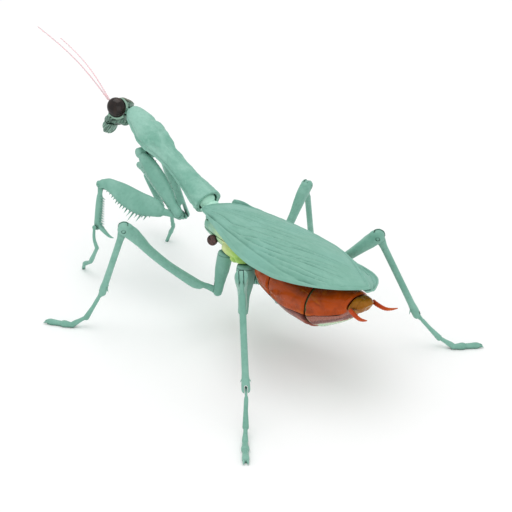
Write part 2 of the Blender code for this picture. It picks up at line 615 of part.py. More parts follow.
prothorax_shell("pronotum_shell", pronotum_ring)
shoulder_block(prothorax_shell("prosternum_shell", prosternum_ring))


# ---------------------------------------------------------------- neck
def neck_link():
    length = (NECK_FRONT - NECK_REAR).length
    rows = [(-NECK_R, 0.3), *ball_rows(NECK_R, -0.85, 0.7, 5), (length / 2, 0.85),
            *[(length + x, r) for x, r in ball_rows(NECK_R, -0.7, 0.85, 5)],
            (length + NECK_R, 0.3)]
    piece("neck_ball", revolve(NECK_REAR, NECK_DIR, rows, 12), NECK_REAR, MINT)


neck_link()

# ---------------------------------------------------------------- head
# frame of the turned and tilted head
HEAD_FORWARD = Vector((0.723, 0.687, -0.079)).normalized()
HEAD_LEFT = Vector((0.362, -0.278, 0.890)).normalized().cross(HEAD_FORWARD).normalized()
HEAD_UP = HEAD_FORWARD.cross(HEAD_LEFT).normalized()
# Side outlines are (forward, up) from the front neck ball.
# Widths are (distance to the left, scale of the outline about its middle).
HEAD_OUTLINE = [
    (-2.9, 2.5), (-1.6, 3.6), (0.2, 4.6), (2.6, 4.7), (4.9, 4.3), (6.4, 3.0), (7.2, 0.6),
    (7.8, -2.4), (8.4, -4.2), (6.4, -5.4), (3.6, -5.3), (1.4, -5.0), (0.0, -3.9), (-0.3, -1.6),
    (-0.8, 0.2), (-1.9, 1.4)]
HEAD_WIDTHS = [(-5.6, 0.42), (-4.8, 0.72), (-3.0, 0.94), (0.0, 1.0),
               (3.0, 0.94), (4.8, 0.72), (5.6, 0.42)]
HEAD_MIDDLE = (3.3, 0.2)
MOUTH_OUTLINE = [(8.9, -4.65), (9.7, -6.2), (9.4, -7.6), (8.4, -8.8), (7.2, -9.1),
                 (5.9, -8.4), (4.7, -7.2), (3.8, -5.85), (6.7, -5.95)]
MOUTH_WIDTHS = [(-2.4, 0.6), (-1.6, 0.92), (0.0, 1.0), (1.6, 0.92), (2.4, 0.6)]
MOUTH_MIDDLE = (7.0, -7.0)
EYE_CENTRE = (2.5, 0.7, 4.6)         # forward, up, outwards
EYE_HALF = (3.3, 4.0, 2.5)           # short, long and sideways half axes
EYE_TILT = math.radians(-38.0)       # of the long axis from the head's up direction
ANTENNA_BASE, ANTENNA_TIP = (7.0, 4.3, 1.0), (32.0, 32.2, 14.4)    # forward, up, outwards
ANTENNA_BOW = 1.2


def head_point(forward, up, left):
    return NECK_FRONT + HEAD_FORWARD * forward + HEAD_UP * up + HEAD_LEFT * left


def head_side_point(position, side):
    forward, up, outwards = position
    return head_point(forward, up, outwards * SIGN[side])


def head_loft(outline, middle, widths):
    mid_p, mid_q = middle
    return loft([[head_point(mid_p + (p - mid_p) * scale, mid_q + (q - mid_q) * scale, left)
                  for p, q in outline] for left, scale in widths])


def eye_solid(side, margin=0.0):
    long_dir = (HEAD_UP * math.cos(EYE_TILT) - HEAD_FORWARD * math.sin(EYE_TILT)).normalized()
    short_dir = long_dir.cross(HEAD_LEFT).normalized()
    short, long, sideways = (half + margin for half in EYE_HALF)
    return ellipsoid(head_side_point(EYE_CENTRE, side),
                     short_dir * short, long_dir * long, HEAD_LEFT * sideways)


def head_shell():
    shape = head_loft(HEAD_OUTLINE, HEAD_MIDDLE, HEAD_WIDTHS)
    head = piece("head_shell", shape, NECK_FRONT, HEAD_GREY)
    cut(head, *[eye_solid(side, GAP) for side in SIGN],
        *socket(NECK_FRONT, NECK_R, NECK_DIR, (-0.2, -5.0, 1.8, 4.2), 12))


def mouthparts():
    shape = head_loft(MOUTH_OUTLINE, MOUTH_MIDDLE, MOUTH_WIDTHS)
    piece("mouthparts", shape, NECK_FRONT, HEAD_GREY)


def antenna(side):
    """Thin, tapered and slightly curved bristle."""
    base = head_side_point(ANTENNA_BASE, side)
    tip = head_side_point(ANTENNA_TIP, side)
    bow = (HEAD_UP - HEAD_FORWARD) * ANTENNA_BOW
    path = [base + (tip - base) * t + bow * math.sin(math.pi * t)
            for t in (0.0, 0.2, 0.4, 0.6, 0.8, 1.0)]
    piece(f"antenna_{side}", tube(path, [0.34, 0.28, 0.26, 0.24, 0.22, 0.2]), base, PINK)


head_shell()
mouthparts()
for side in SIGN:
    piece(f"eye_{side}", eye_solid(side), head_side_point(EYE_CENTRE, side), EYE_BLACK)
    antenna(side)

# ---------------------------------------------------------------- abdomen
# x, centre height, half width, half height
ABDOMEN = [
    (-11.9, 31.6, 6.0, 5.5), (-14.0, 31.2, 7.2, 6.5), (-24.0, 30.5, 9.3, 8.3),
    (-34.0, 29.9, 10.0, 9.3), (-44.0, 29.9, 9.9, 9.3), (-50.0, 32.0, 9.0, 8.1),
    (-56.0, 34.3, 7.5, 6.6), (-62.4, 36.9, 5.0, 4.2)]
STERNITE_LEVEL = -0.55    # top of the belly plates, as a share of the half height
STERNITE_DROP = GAP + 0.02
# stations of the plates: x, and how far the top of the section leans to the rear
FRONT_PLATE = [(-14.0, 0.0), (-18.5, 0.0), (-23.6, 0.0)]
MIDDLE_PLATE = [(-23.95, 0.0), (-29.0, 0.0), (-34.0, 0.0), (-39.0, 0.0), (-44.0, 0.0)]
REAR_TERGITE = [(-45.6, 0.0), (-50.0, 0.3), (-53.0, 0.6), (-57.0, 0.9), (-61.4, 1.0)]
REAR_STERNITE = [(-43.6, -4.0), (-48.5, -2.2), (-53.0, -0.5), (-57.0, 0.5), (-60.0, 1.0)]
HUB = [(-44.3, 0.93), (-44.8, 0.93), (-45.0, 0.5)]    # x, scale of the section
HUB_SECTION_X = -44.6
# x, centre height, half width, half height
TIP = [(-62.2, 36.9, 4.6, 3.8), (-64.6, 37.6, 4.1, 3.5), (-66.9, 38.2, 3.3, 2.9),
       (-68.2, 38.6, 2.2, 1.7)]
TIP_LEAN = 0.8
CERCUS_BASE = (-63.9, 5.15, 37.1)
CERCUS_PATH = [(0.0, 0.0, 0.0), (-2.5, 0.3, -0.6), (-5.5, 0.7, -0.7), (-8.0, 1.1, 0.1),
               (-10.2, 1.7, 1.2)]    # offsets from the base


def abdomen_plate(stations, angles, drop=0.0):
    rings = []
    for x, lean in stations:
        z, half_width, half_height = interpolate(ABDOMEN, x)
        rings.append([Vector((x - lean * math.sin(t), half_width * math.cos(t),
                              z + half_height * math.sin(t) - drop)) for t in angles])
    return loft(rings)


def tergite(stations):
    """Back plate, arching over the top."""
    return abdomen_plate(stations, arch_angles(STERNITE_LEVEL))


def sternite(stations, steps=10):
    """Belly plate, closing the section below the back plates."""
    start = math.asin(STERNITE_LEVEL)
    angles = [math.pi - start + (math.pi + 2 * start) * j / steps for j in range(steps + 1)]
    return abdomen_plate(stations, angles, STERNITE_DROP)


def abdomen_front():
    shape = tergite([(-12.1, 0.0), *FRONT_PLATE])
    front = piece("abdomen_front", shape, ABDOMEN_BALL, AMBER)
    stalk = [(-ABDOMEN_BALL_R, 0.4), *ball_rows(ABDOMEN_BALL_R, -0.85, 0.75, 6),
             (2.3, 1.5), (3.6, 1.5), (7.5, 2.2)]
    add(front, revolve(ABDOMEN_BALL, Vector((-1.0, 0.0, -0.35)), stalk, 14))


def abdomen_hub():
    """Green hub plate with the hinge ball."""
    z, half_width, half_height = interpolate(ABDOMEN, HUB_SECTION_X)
    rings = [ring(Vector((x, 0.0, z)), Y, Z, half_width * scale, half_height * scale, 16)
             for x, scale in HUB]
    hub = piece("abdomen_joint", loft(rings), ABDOMEN_HINGE, GREEN)
    add(hub, ball(ABDOMEN_HINGE, ABDOMEN_HINGE_R, X))


def rear_plate(name, shape, material):
    plate = piece(name, shape, ABDOMEN_HINGE, material)
    cut(plate, *socket(ABDOMEN_HINGE, ABDOMEN_HINGE_R, X, (0.2, 4.0, 2.9, 4.4), 12))


def abdomen_tip():
    rings = []
    for x, z, half_width, half_height in TIP:
        upright = ring(Vector((x, 0, z)), Y, Z, half_width, half_height, 14)
        rings.append([p - X * (TIP_LEAN * (p.z - z) / half_height) for p in upright])
    piece("abdomen_tip", loft(rings), ABDOMEN_HINGE, OLIVE)


def cercus(side):
    base = mirrored(CERCUS_BASE, side)
    path = [base + mirrored(offset, side) for offset in CERCUS_PATH]
    piece(f"cercus_{side}", tube(path, [0.8, 0.75, 0.65, 0.45, 0.2], Y), base, AMBER)


abdomen_front()
piece("abdomen_middle", tergite(MIDDLE_PLATE), ABDOMEN_BALL, AMBER)
piece("sternite_front", sternite(FRONT_PLATE), ABDOMEN_BALL, MAROON)
piece("sternite_middle", sternite(MIDDLE_PLATE), ABDOMEN_BALL, MAROON)
abdomen_hub()
rear_plate("abdomen_rear", tergite(REAR_TERGITE), AMBER)
rear_plate("sternite_rear", sternite(REAR_STERNITE), BELLY_GREEN)
abdomen_tip()
for side in SIGN:
    cercus(side)

# ---------------------------------------------------------------- wings
WING_THICK = 0.75
WING_DROP = {"left": 0.0, "right": 1.25}    # the right wing lies below the left one
WING_HINGE_WIDTH = 8.0                      # half width taken for the height at the hinge
SHOULDER_RUN = 1.5                          # width over which a shoulder lift builds up
# Widths run from the middle of the back towards the wing's own side.
WING = {
    # x, half width, inner edge
    "left": [
        (22.3, 5.2, 4.5), (20.5, 5.9, 2.3), (17.0, 7.0, -2.2), (13.0, 8.6, -6.0),
        (8.0, 10.2, -7.8), (3.0, 11.8, -9.0), (-5.0, 13.9, -10.8), (-14.0, 15.8, -12.0),
        (-24.0, 16.9, -12.8), (-34.0, 16.6, -12.8), (-43.0, 14.8, -11.2), (-51.0, 12.0, -8.2),
        (-58.0, 8.6, -5.0), (-63.0, 5.4, -2.6), (-66.3, 2.8, -1.0), (-68.2, 1.1, 0.1)],
    # x, half width, inner edge, extra width outside[, start of the shoulder, shoulder lift]
    "right": [
        (17.0, 7.0, 3.6, -0.5, 4.6, 3.3), (13.0, 8.6, 2.7, -0.5, 6.7, 3.7),
        (8.0, 10.2, 2.0, -0.5, 8.5, 2.9), (3.0, 11.8, 1.0, 0.0, 9.8, 1.4),
        (-5.0, 13.9, 0.0, 0.4, 11.6, 0.3), (-14.0, 15.8, -1.0, 0.7), (-24.0, 16.9, -1.5, 0.8),
        (-34.0, 16.6, -1.5, 1.7), (-43.0, 14.8, -1.5, 2.6), (-51.0, 12.0, -1.5, 3.4),
        (-58.0, 8.6, -1.5, 3.7), (-63.0, 5.4, -1.5, 2.8), (-66.3, 2.8, -1.5, 1.5),
        (-68.2, 1.1, -1.5, 0.7)],
}


def ridge_height(x):
    """Height of the wings' top along the middle of the back."""
    if x > 0:
        return 46.6 - 2.4 * (x / 22.0) ** 1.6
    swell = 0.5 * math.sin(math.pi * min(-x, 60.0) / 60.0)
    return 46.6 + swell - 0.5 * max((-x - 40.0) / 29.0, 0.0) ** 1.5


def wing_height(x, y, width):
    """Top of the left wing, drooping to the sides more where the wing is wide."""
    sideways = min(abs(y) / max(width, 1.0), 1.12)
    return ridge_height(x) - 5.6 * min(width / 17.0, 1.0) ** 1.3 * sideways ** 3.0


def wing_ring(side, x, width, inner, extra=0.0, shoulder=0.0, lift=0.0, steps=7):
    top = []
    for j in range(steps + 1):
        y = inner + (width + extra - inner) * j / steps
        raised = lift * min(max((y - shoulder) / SHOULDER_RUN, 0.0), 1.0)
        z = wing_height(x, y, width) - WING_DROP[side] + raised
        top.append(Vector((x, SIGN[side] * y, z)))
    return top + [p - Z * WING_THICK for p in reversed(top)]


def forewing(side):
    hinge = WING_HINGE[side]
    shape = loft([wing_ring(side, *station) for station in WING[side]])
    wing = piece(f"{side}_forewing", shape, hinge, WING_TEAL)
    top = wing_height(hinge.x, abs(hinge.y), WING_HINGE_WIDTH) - WING_DROP[side]
    stalk = [(-WING_BALL_R, 0.2), *ball_rows(WING_BALL_R, -0.85, 0.6, 4),
             (0.95, 0.75), (top - hinge.z - 0.35, 0.8)]
    add(wing, revolve(hinge, Z, stalk, 10))


for side in SIGN:
    forewing(side)
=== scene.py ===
import json
import math
import bpy
import bmesh
from mathutils import Vector, Matrix, noise


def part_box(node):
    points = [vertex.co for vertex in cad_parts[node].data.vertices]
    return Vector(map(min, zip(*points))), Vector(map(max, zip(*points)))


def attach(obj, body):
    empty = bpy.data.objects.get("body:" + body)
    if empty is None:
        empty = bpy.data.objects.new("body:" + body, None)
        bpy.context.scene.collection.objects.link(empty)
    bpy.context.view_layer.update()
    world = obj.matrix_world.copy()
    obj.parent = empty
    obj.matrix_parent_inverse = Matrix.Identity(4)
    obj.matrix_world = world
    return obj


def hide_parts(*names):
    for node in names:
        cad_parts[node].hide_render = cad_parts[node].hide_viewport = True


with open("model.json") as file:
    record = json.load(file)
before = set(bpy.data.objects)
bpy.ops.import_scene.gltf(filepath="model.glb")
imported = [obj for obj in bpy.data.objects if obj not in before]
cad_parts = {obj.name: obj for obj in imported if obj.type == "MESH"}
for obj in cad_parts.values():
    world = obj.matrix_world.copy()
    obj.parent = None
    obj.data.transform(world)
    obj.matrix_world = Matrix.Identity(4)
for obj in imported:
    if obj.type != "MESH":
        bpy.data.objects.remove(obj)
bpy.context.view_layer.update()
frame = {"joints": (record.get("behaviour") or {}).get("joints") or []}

# ================================================================ frame data
# Working units below are millimetres in the record's axes; make() turns them into metres.
MM = 0.001
JOINT = {j["name"]: j for j in frame["joints"]}


def joint_at(name):
    return Vector(JOINT[name]["pos_m"]) * 1000.0


def joint_axis(name):
    return Vector(JOINT[name]["axis"]).normalized()


def centre_of(node):
    low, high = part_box(node)
    return (low + high) * 500.0


X = Vector((1.0, 0.0, 0.0))
Y = Vector((0.0, 1.0, 0.0))
Z = Vector((0.0, 0.0, 1.0))
SIDES = {"left": 1.0, "right": -1.0}
MID = Vector((-25.27, 4.12, 0.0))          # hips' origin in the record's axes


def at(x, y, z):
    """Point given from the hips: forward, left, up."""
    return Vector((x, y, z)) + MID


# ================================================================ shape helpers
def pchip(xs, ys, x):
    n = len(xs)
    if x <= xs[0]:
        return ys[0]
    if x >= xs[-1]:
        return ys[-1]
    h = [xs[i + 1] - xs[i] for i in range(n - 1)]
    d = [(ys[i + 1] - ys[i]) / h[i] for i in range(n - 1)]
    m = [0.0] * n
    for i in range(1, n - 1):
        if d[i - 1] * d[i] > 0:
            w1, w2 = 2 * h[i] + h[i - 1], h[i] + 2 * h[i - 1]
            m[i] = (w1 + w2) / (w1 / d[i - 1] + w2 / d[i])
    m[0], m[-1] = d[0], d[-1]
    i = 0
    while x > xs[i + 1]:
        i += 1
    t = (x - xs[i]) / h[i]
    return (ys[i] * (1 + 2 * t) * (1 - t) ** 2 + h[i] * m[i] * t * (1 - t) ** 2
            + ys[i + 1] * t * t * (3 - 2 * t) + h[i] * m[i + 1] * t * t * (t - 1))


def dense(rows, step=0.45):
    """More rows between the given ones, smoothly; the first number is the distance."""
    rows = [tuple(r) for r in rows]
    width = max(len(r) for r in rows)
    rows = [r + (0.0,) * (width - len(r)) for r in rows]
    xs = [r[0] for r in rows]
    out = []
    for i in range(len(rows) - 1):
        k = max(2, int(math.ceil((xs[i + 1] - xs[i]) / step)))
        for j in range(k):
            x = xs[i] + (xs[i + 1] - xs[i]) * j / k
            out.append((x,) + tuple(pchip(xs, [r[c] for r in rows], x) for c in range(1, width)))
    out.append(rows[-1])
    return out


def smooth_path(points, per=6):
    """Catmull-Rom curve through the points."""
    out = []
    n = len(points)
    for i in range(n - 1):
        p0, p1, p2, p3 = points[max(i - 1, 0)], points[i], points[i + 1], points[min(i + 2, n - 1)]
        for j in range(per):
            t = j / per
            out.append(0.5 * ((2 * p1) + (p2 - p0) * t + (2 * p0 - 5 * p1 + 4 * p2 - p3) * t * t + (3 * p1 - p0 - 3 * p2 + p3) * t ** 3))
    out.append(points[-1])
    return out


def smooth_values(values, per=6):
    vs = smooth_path([Vector((v, 0, 0)) for v in values], per)
    return [max(v.x, 0.02) for v in vs]


def mean(points):
    total = Vector((0.0, 0.0, 0.0))
    for p in points:
        total += p
    return total / len(points)


def loft(rings, closed=True):
    n = len(rings[0])
    pts = [p for r in rings for p in r]
    faces = []
    for i in range(len(rings) - 1):
        for j in range(n):
            a, b = i * n + j, i * n + (j + 1) % n
            faces.append((a, b, b + n, a + n))
    last = (len(rings) - 1) * n
    c0 = len(pts)
    pts.append(mean(rings[0]))
    c1 = len(pts)
    pts.append(mean(rings[-1]))
    for j in range(n):
        k = (j + 1) % n
        faces.append((c0, k, j))
        faces.append((c1, last + j, last + k))
    return pts, faces


def spow(v, e):
    return math.copysign(abs(v) ** e, v)


def ring(centre, side, up, a, b, n=32, e=1.0, f=None):
    out = []
    for j in range(n):
        t = 2 * math.pi * j / n
        k = 1.0 if f is None else f(t)
        out.append(centre + side * (a * k * spow(math.cos(t), e)) + up * (b * k * spow(math.sin(t), e)))
    return out


def frame_of(direction, hint):
    d = direction.normalized()
    s = (hint - d * hint.dot(d)).normalized()
    return d, s, d.cross(s)


def limb(start, end, side_hint, profile, n=32, e=0.92, step=0.45, f=None):
    """Smooth loft along start-end; rows are (distance, half width, half thickness, offset)."""
    d, s, m = frame_of(end - start, side_hint)
    rows = dense([r if len(r) > 3 else tuple(r) + (0.0,) for r in profile], step)
    return loft([ring(start + d * r[0] + m * r[3], s, m, max(r[1], 0.02), max(r[2], 0.02), n, e,
                      None if f is None else (lambda t, x=r[0]: f(x, t))) for r in rows])


def tube(path, radii, n=20, hint=Z, per=6, flat=1.0, f=None):
    pts = smooth_path(path, per)
    rs = smooth_values(radii, per)
    rings = []
    side = None
    for i, p in enumerate(pts):
        a, b = pts[max(i - 1, 0)], pts[min(i + 1, len(pts) - 1)]
        d, s, m = frame_of(b - a, hint if side is None else side)
        side = s
        k = 1.0 if f is None else f(i / (len(pts) - 1))
        rings.append(ring(p, s, m, rs[i] * k, rs[i] * k * flat, n))
    # rounded end
    d = (pts[-1] - pts[-2]).normalized()
    dd, s, m = frame_of(d, side)
    for k in (0.5, 0.85):
        rings.append(ring(pts[-1] + d * rs[-1] * k, s, m, rs[-1] * math.sqrt(1 - k * k), rs[-1] * math.sqrt(1 - k * k) * flat, n))
    return loft(rings)


def revolve(centre, axis, rows, n=40, step=0.35, smooth=True):
    hint = Z if abs(axis.normalized().z) < 0.9 else X
    d, s, m = frame_of(axis, hint)
    rows = dense(rows, step) if smooth else rows
    return loft([ring(centre + d * r[0], s, m, max(r[1], 0.01), max(r[1], 0.01), n) for r in rows])


def rod(a, b, ra, rb=None, n=32):
    rb = ra if rb is None else rb
    hint = Z if abs((b - a).normalized().z) < 0.9 else X
    d, s, m = frame_of(b - a, hint)
    return loft([ring(a, s, m, ra, ra, n), ring(b, s, m, rb, rb, n)])


def ball_rows(r, first=-0.96, last=0.96, steps=9):
    a0, a1 = math.asin(first), math.asin(last)
    return [(r * math.sin(a0 + (a1 - a0) * i / (steps - 1)), r * math.cos(a0 + (a1 - a0) * i / (steps - 1))) for i in range(steps)]


def ball(centre, r, axis=Z, n=32, steps=15):
    return revolve(centre, axis, ball_rows(r, -0.995, 0.995, steps), n, smooth=False)


def ellipsoid(centre, e1, e2, e3, n=40, steps=28):
    rings = []
    for i in range(steps):
        a = -math.pi / 2 + math.pi * (i + 0.5) / steps
        rings.append([centre + e3 * math.sin(a) + (e1 * math.cos(t) + e2 * math.sin(t)) * math.cos(a)
                      for t in [2 * math.pi * j / n for j in range(n)]])
    return loft(rings)


def block(centre, ex, ey, ez):
    pts = [centre + ex * i + ey * j + ez * k for i in (-1, 1) for j in (-1, 1) for k in (-1, 1)]
    return pts, [(0, 1, 3, 2), (4, 6, 7, 5), (0, 4, 5, 1), (2, 3, 7, 6), (0, 2, 6, 4), (1, 5, 7, 3)]


def cone(base, tip, r, n=10, hint=Z):
    d, s, m = frame_of(tip - base, hint if abs((tip - base).normalized().dot(hint)) < 0.9 else X)
    length = (tip - base).length
    return loft([ring(base + d * (length * u), s, m, r * w, r * w, n) for u, w in ((0, 1.0), (0.35, 0.72), (0.7, 0.4), (0.93, 0.14), (1.0, 0.03))])


def merge(shapes):
    pts, faces = [], []
    for p, f in shapes:
        k = len(pts)
        pts += p
        faces += [tuple(i + k for i in face) for face in f]
    return pts, faces


# ================================================================ objects
def make(name, shape):
    pts, faces = shape
    me = bpy.data.meshes.new(name)
    me.from_pydata([(p * MM)[:] for p in pts], [], faces)
    bm = bmesh.new()
    bm.from_mesh(me)
    bmesh.ops.recalc_face_normals(bm, faces=bm.faces)
    bm.to_mesh(me)
    bm.free()
    ob = bpy.data.objects.new(name, me)
    bpy.context.scene.collection.objects.link(ob)
    return ob


def bake(ob):
    """Turns an object's modifiers into its own mesh."""
    bpy.context.view_layer.update()
    graph = bpy.context.evaluated_depsgraph_get()
    me = bpy.data.meshes.new_from_object(ob.evaluated_get(graph))
    ob.modifiers.clear()
    ob.data = me
    return ob


def combine(ob, shapes, operation, solver="MANIFOLD"):
    if not shapes:
        return ob
    cutters = []
    for s in shapes:
        c = make(ob.name + "_c", s)
        cutters.append(c)
        mod = ob.modifiers.new("b", "BOOLEAN")
        mod.operation = operation
        mod.solver = solver
        mod.object = c
    before = len(ob.data.polygons)
    bake(ob)
    for c in cutters:
        bpy.data.objects.remove(c, do_unlink=True)
    if len(ob.data.polygons) == 0:
        raise RuntimeError("empty after boolean: " + ob.name)
    return ob


def cut(ob, *shapes):
    return combine(ob, shapes, "DIFFERENCE")


def join(ob, *shapes):
    return combine(ob, shapes, "UNION")


def melt(ob, voxel=0.14, rounds=3):
    """Rounds a union of shapes into one soft moulded form."""
    mod = ob.modifiers.new("r", "REMESH")
    mod.mode = "VOXEL"
    mod.voxel_size = voxel * MM
    sm = ob.modifiers.new("s", "SMOOTH")
    sm.iterations = rounds
    sm.factor = 0.5
    return bake(ob)


def finish_piece(ob, body, material, slot_name, *nodes, angle=35.0):
    me = ob.data
    me.materials.clear()
    me.materials.append(material)
    me.shade_smooth()
    me.set_sharp_from_angle(angle=math.radians(angle))
    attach(ob, body)
    if nodes:
        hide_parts(*nodes)
    return ob


# ================================================================ materials
def nodes_of(name):
    m = bpy.data.materials.new(name)
    m.use_nodes = True
    t = m.node_tree
    return m, t, t.nodes, t.links, t.nodes["Principled BSDF"]


def coords(t, scale=1000.0):
    """Object coordinates in millimetres."""
    tc = t.nodes.new("ShaderNodeTexCoord")
    mp = t.nodes.new("ShaderNodeMapping")
    mp.inputs["Scale"].default_value = (scale,) * 3
    t.links.new(tc.outputs["Object"], mp.inputs["Vector"])
    return mp.outputs["Vector"]


def noise_node(t, vec, scale, detail=3.0, rough=0.55, distortion=0.0):
    n = t.nodes.new("ShaderNodeTexNoise")
    n.inputs["Scale"].default_value = scale
    n.inputs["Detail"].default_value = detail
    n.inputs["Roughness"].default_value = rough
    n.inputs["Distortion"].default_value = distortion
    t.links.new(vec, n.inputs["Vector"])
    return n.outputs["Fac"]


def ramp(t, fac, stops, interp="EASE"):
    r = t.nodes.new("ShaderNodeValToRGB")
    r.color_ramp.interpolation = interp
    els = r.color_ramp.elements
    while len(els) < len(stops):
        els.new(0.5)
    for e, (p, c) in zip(els, stops):
        e.position = p
        e.color = (*c, 1.0) if len(c) == 3 else c
    t.links.new(fac, r.inputs["Fac"])
    return r.outputs["Color"]


def mix(t, fac, a, b, mode="MIX"):
    m = t.nodes.new("ShaderNodeMix")
    m.data_type = "RGBA"
    m.blend_type = mode
    m.clamp_factor = True
    for value, socket in ((fac, m.inputs[0]), (a, m.inputs[6]), (b, m.inputs[7])):
        if isinstance(value, (float, int)):
            socket.default_value = value
        elif isinstance(value, tuple):
            socket.default_value = (*value, 1.0)
        else:
            t.links.new(value, socket)
    return m.outputs[2]


def maths(t, op, a, b=None, clamp=False):
    m = t.nodes.new("ShaderNodeMath")
    m.operation = op
    m.use_clamp = clamp
    for value, socket in ((a, m.inputs[0]), (b, m.inputs[1])):
        if value is None:
            continue
        if isinstance(value, (float, int)):
            socket.default_value = value
        else:
            t.links.new(value, socket)
    return m.outputs[0]


def painted_crease_shade(t, distance=1.6, low=0.35, high=0.95):
    """0 on open surfaces, 1 deep in a crease, from ambient occlusion: where painted shade is laid on."""
    ao = t.nodes.new("ShaderNodeAmbientOcclusion")
    ao.samples = 8
    ao.only_local = False
    ao.inputs["Distance"].default_value = distance * MM
    mr = t.nodes.new("ShaderNodeMapRange")
    mr.inputs["From Min"].default_value = low
    mr.inputs["From Max"].default_value = high
    mr.inputs["To Min"].default_value = 1.0
    mr.inputs["To Max"].default_value = 0.0
    t.links.new(ao.outputs["AO"], mr.inputs["Value"])
    return mr.outputs["Result"]


def rounded(t, p, radius=0.12, height=None, strength=0.3, distance=0.05):
    """Soft moulded edges and a fine surface grain."""
    bv = t.nodes.new("ShaderNodeBevel")
    bv.samples = 4
    bv.inputs["Radius"].default_value = radius * MM
    if height is None:
        t.links.new(bv.outputs["Normal"], p.inputs["Normal"])
        return
    bp = t.nodes.new("ShaderNodeBump")
    bp.inputs["Strength"].default_value = strength
    bp.inputs["Distance"].default_value = distance * MM
    t.links.new(height, bp.inputs["Height"])
    t.links.new(bv.outputs["Normal"], bp.inputs["Normal"])
    t.links.new(bp.outputs["Normal"], p.inputs["Normal"])


def facing_light(t, amount_socket=None):
    lw = t.nodes.new("ShaderNodeLayerWeight")
    lw.inputs["Blend"].default_value = 0.35
    return lw.outputs["Facing"]


def moulded(name, base, light, dark, rough=0.42, grain=2.6, crease_shade_strength=0.75, blotch=0.09, specular=0.35, sheen=0.0, stretch=None):
    """Painted moulded plastic: slow colour drift, lighter edges and high spots (painted highlight, partly edge wear),
    painted shade in the creases and a fine grain.
    """
    m, t, N, L, p = nodes_of(name)
    vec = coords(t)
    if stretch:
        mp = N.new("ShaderNodeMapping")
        mp.inputs["Scale"].default_value = stretch
        L.new(vec, mp.inputs["Vector"])
        svec = mp.outputs["Vector"]
    else:
        svec = vec
    drift = noise_node(t, svec, blotch, 4.0, 0.6, 0.4)
    col = mix(t, ramp(t, drift, [(0.35, (0, 0, 0)), (0.68, (1, 1, 1))]), base, light)
    mottled = noise_node(t, vec, 0.9, 5.0, 0.65)
    col = mix(t, maths(t, "MULTIPLY", ramp(t, mottled, [(0.45, (0, 0, 0)), (0.75, (1, 1, 1))]), 0.16), col, dark)
    # painted highlight: lighter on sharp edges and high spots, partly edge wear
    geo = N.new("ShaderNodeNewGeometry")
    edge = ramp(t, geo.outputs["Pointiness"], [(0.52, (0, 0, 0)), (0.60, (1, 1, 1))])
    col = mix(t, maths(t, "MULTIPLY", edge, 0.35), col, light)
    # painted shade: darker deep in the creases
    col = mix(t, maths(t, "MULTIPLY", painted_crease_shade(t), crease_shade_strength), col, dark)
    L.new(col, p.inputs["Base Color"])
    fine = noise_node(t, vec, grain, 3.0, 0.6)
    L.new(ramp(t, fine, [(0.3, (rough - 0.06,) * 3), (0.7, (rough + 0.08,) * 3)]), p.inputs["Roughness"])
    p.inputs["Specular IOR Level"].default_value = specular
    rounded(t, p, 0.12, fine, 0.18, 0.03)
    return m


TEAL_BASE, TEAL_LIGHT, TEAL_DARK = (0.168, 0.392, 0.305), (0.235, 0.475, 0.385), (0.030, 0.115, 0.082)
teal = moulded("teal_painted_plastic", TEAL_BASE, TEAL_LIGHT, TEAL_DARK)
teal_pro = moulded("pronotum_painted_plastic", (0.185, 0.43, 0.335), (0.30, 0.56, 0.46), (0.045, 0.15, 0.115), blotch=0.13, stretch=(0.45, 1.0, 1.0), crease_shade_strength=0.8)
mint = moulded("mint_plastic", (0.46, 0.83, 0.66), (0.58, 0.92, 0.76), (0.15, 0.42, 0.31), rough=0.36, crease_shade_strength=0.5)
green = moulded("green_joint_plastic", (0.045, 0.20, 0.06), (0.08, 0.30, 0.10), (0.008, 0.04, 0.012), rough=0.33, crease_shade_strength=0.8)


def wing_material(name):
    m, t, N, L, p = nodes_of(name)
    vec = coords(t)
    mp = N.new("ShaderNodeMapping")
    mp.inputs["Scale"].default_value = (0.35, 1.0, 1.0)
    mp.inputs["Rotation"].default_value = (0.0, 0.0, 0.16)
    L.new(vec, mp.inputs["Vector"])
    streak = noise_node(t, mp.outputs["Vector"], 0.55, 5.0, 0.6, 0.6)
    col = mix(t, ramp(t, streak, [(0.35, (0, 0, 0)), (0.7, (1, 1, 1))]), (0.190, 0.420, 0.330), (0.225, 0.462, 0.370))
    slow = noise_node(t, vec, 0.045, 2.0, 0.5)
    col = mix(t, maths(t, "MULTIPLY", ramp(t, slow, [(0.4, (0, 0, 0)), (0.65, (1, 1, 1))]), 0.35), col, (0.225, 0.49, 0.415))
    geo = N.new("ShaderNodeNewGeometry")
    # painted shade in the vein valleys and painted highlight on the vein crests
    valley_shade = ramp(t, geo.outputs["Pointiness"], [(0.44, (1, 1, 1)), (0.495, (0, 0, 0))])
    crest_highlight = ramp(t, geo.outputs["Pointiness"], [(0.505, (0, 0, 0)), (0.56, (1, 1, 1))])
    col = mix(t, maths(t, "MULTIPLY", valley_shade, 0.75), col, (0.070, 0.225, 0.17))
    col = mix(t, maths(t, "MULTIPLY", crest_highlight, 0.30), col, (0.32, 0.58, 0.48))
    # painted shade deep in the creases
    col = mix(t, maths(t, "MULTIPLY", painted_crease_shade(t, 1.5), 0.6), col, (0.04, 0.15, 0.11))
    L.new(col, p.inputs["Base Color"])
    fine = noise_node(t, vec, 2.2, 3.0, 0.6)
    L.new(ramp(t, fine, [(0.3, (0.40,) * 3), (0.7, (0.52,) * 3)]), p.inputs["Roughness"])
    p.inputs["Specular IOR Level"].default_value = 0.33
    rounded(t, p, 0.10, fine, 0.15, 0.03)
    return m


wing_mat = wing_material("wing_painted_plastic")


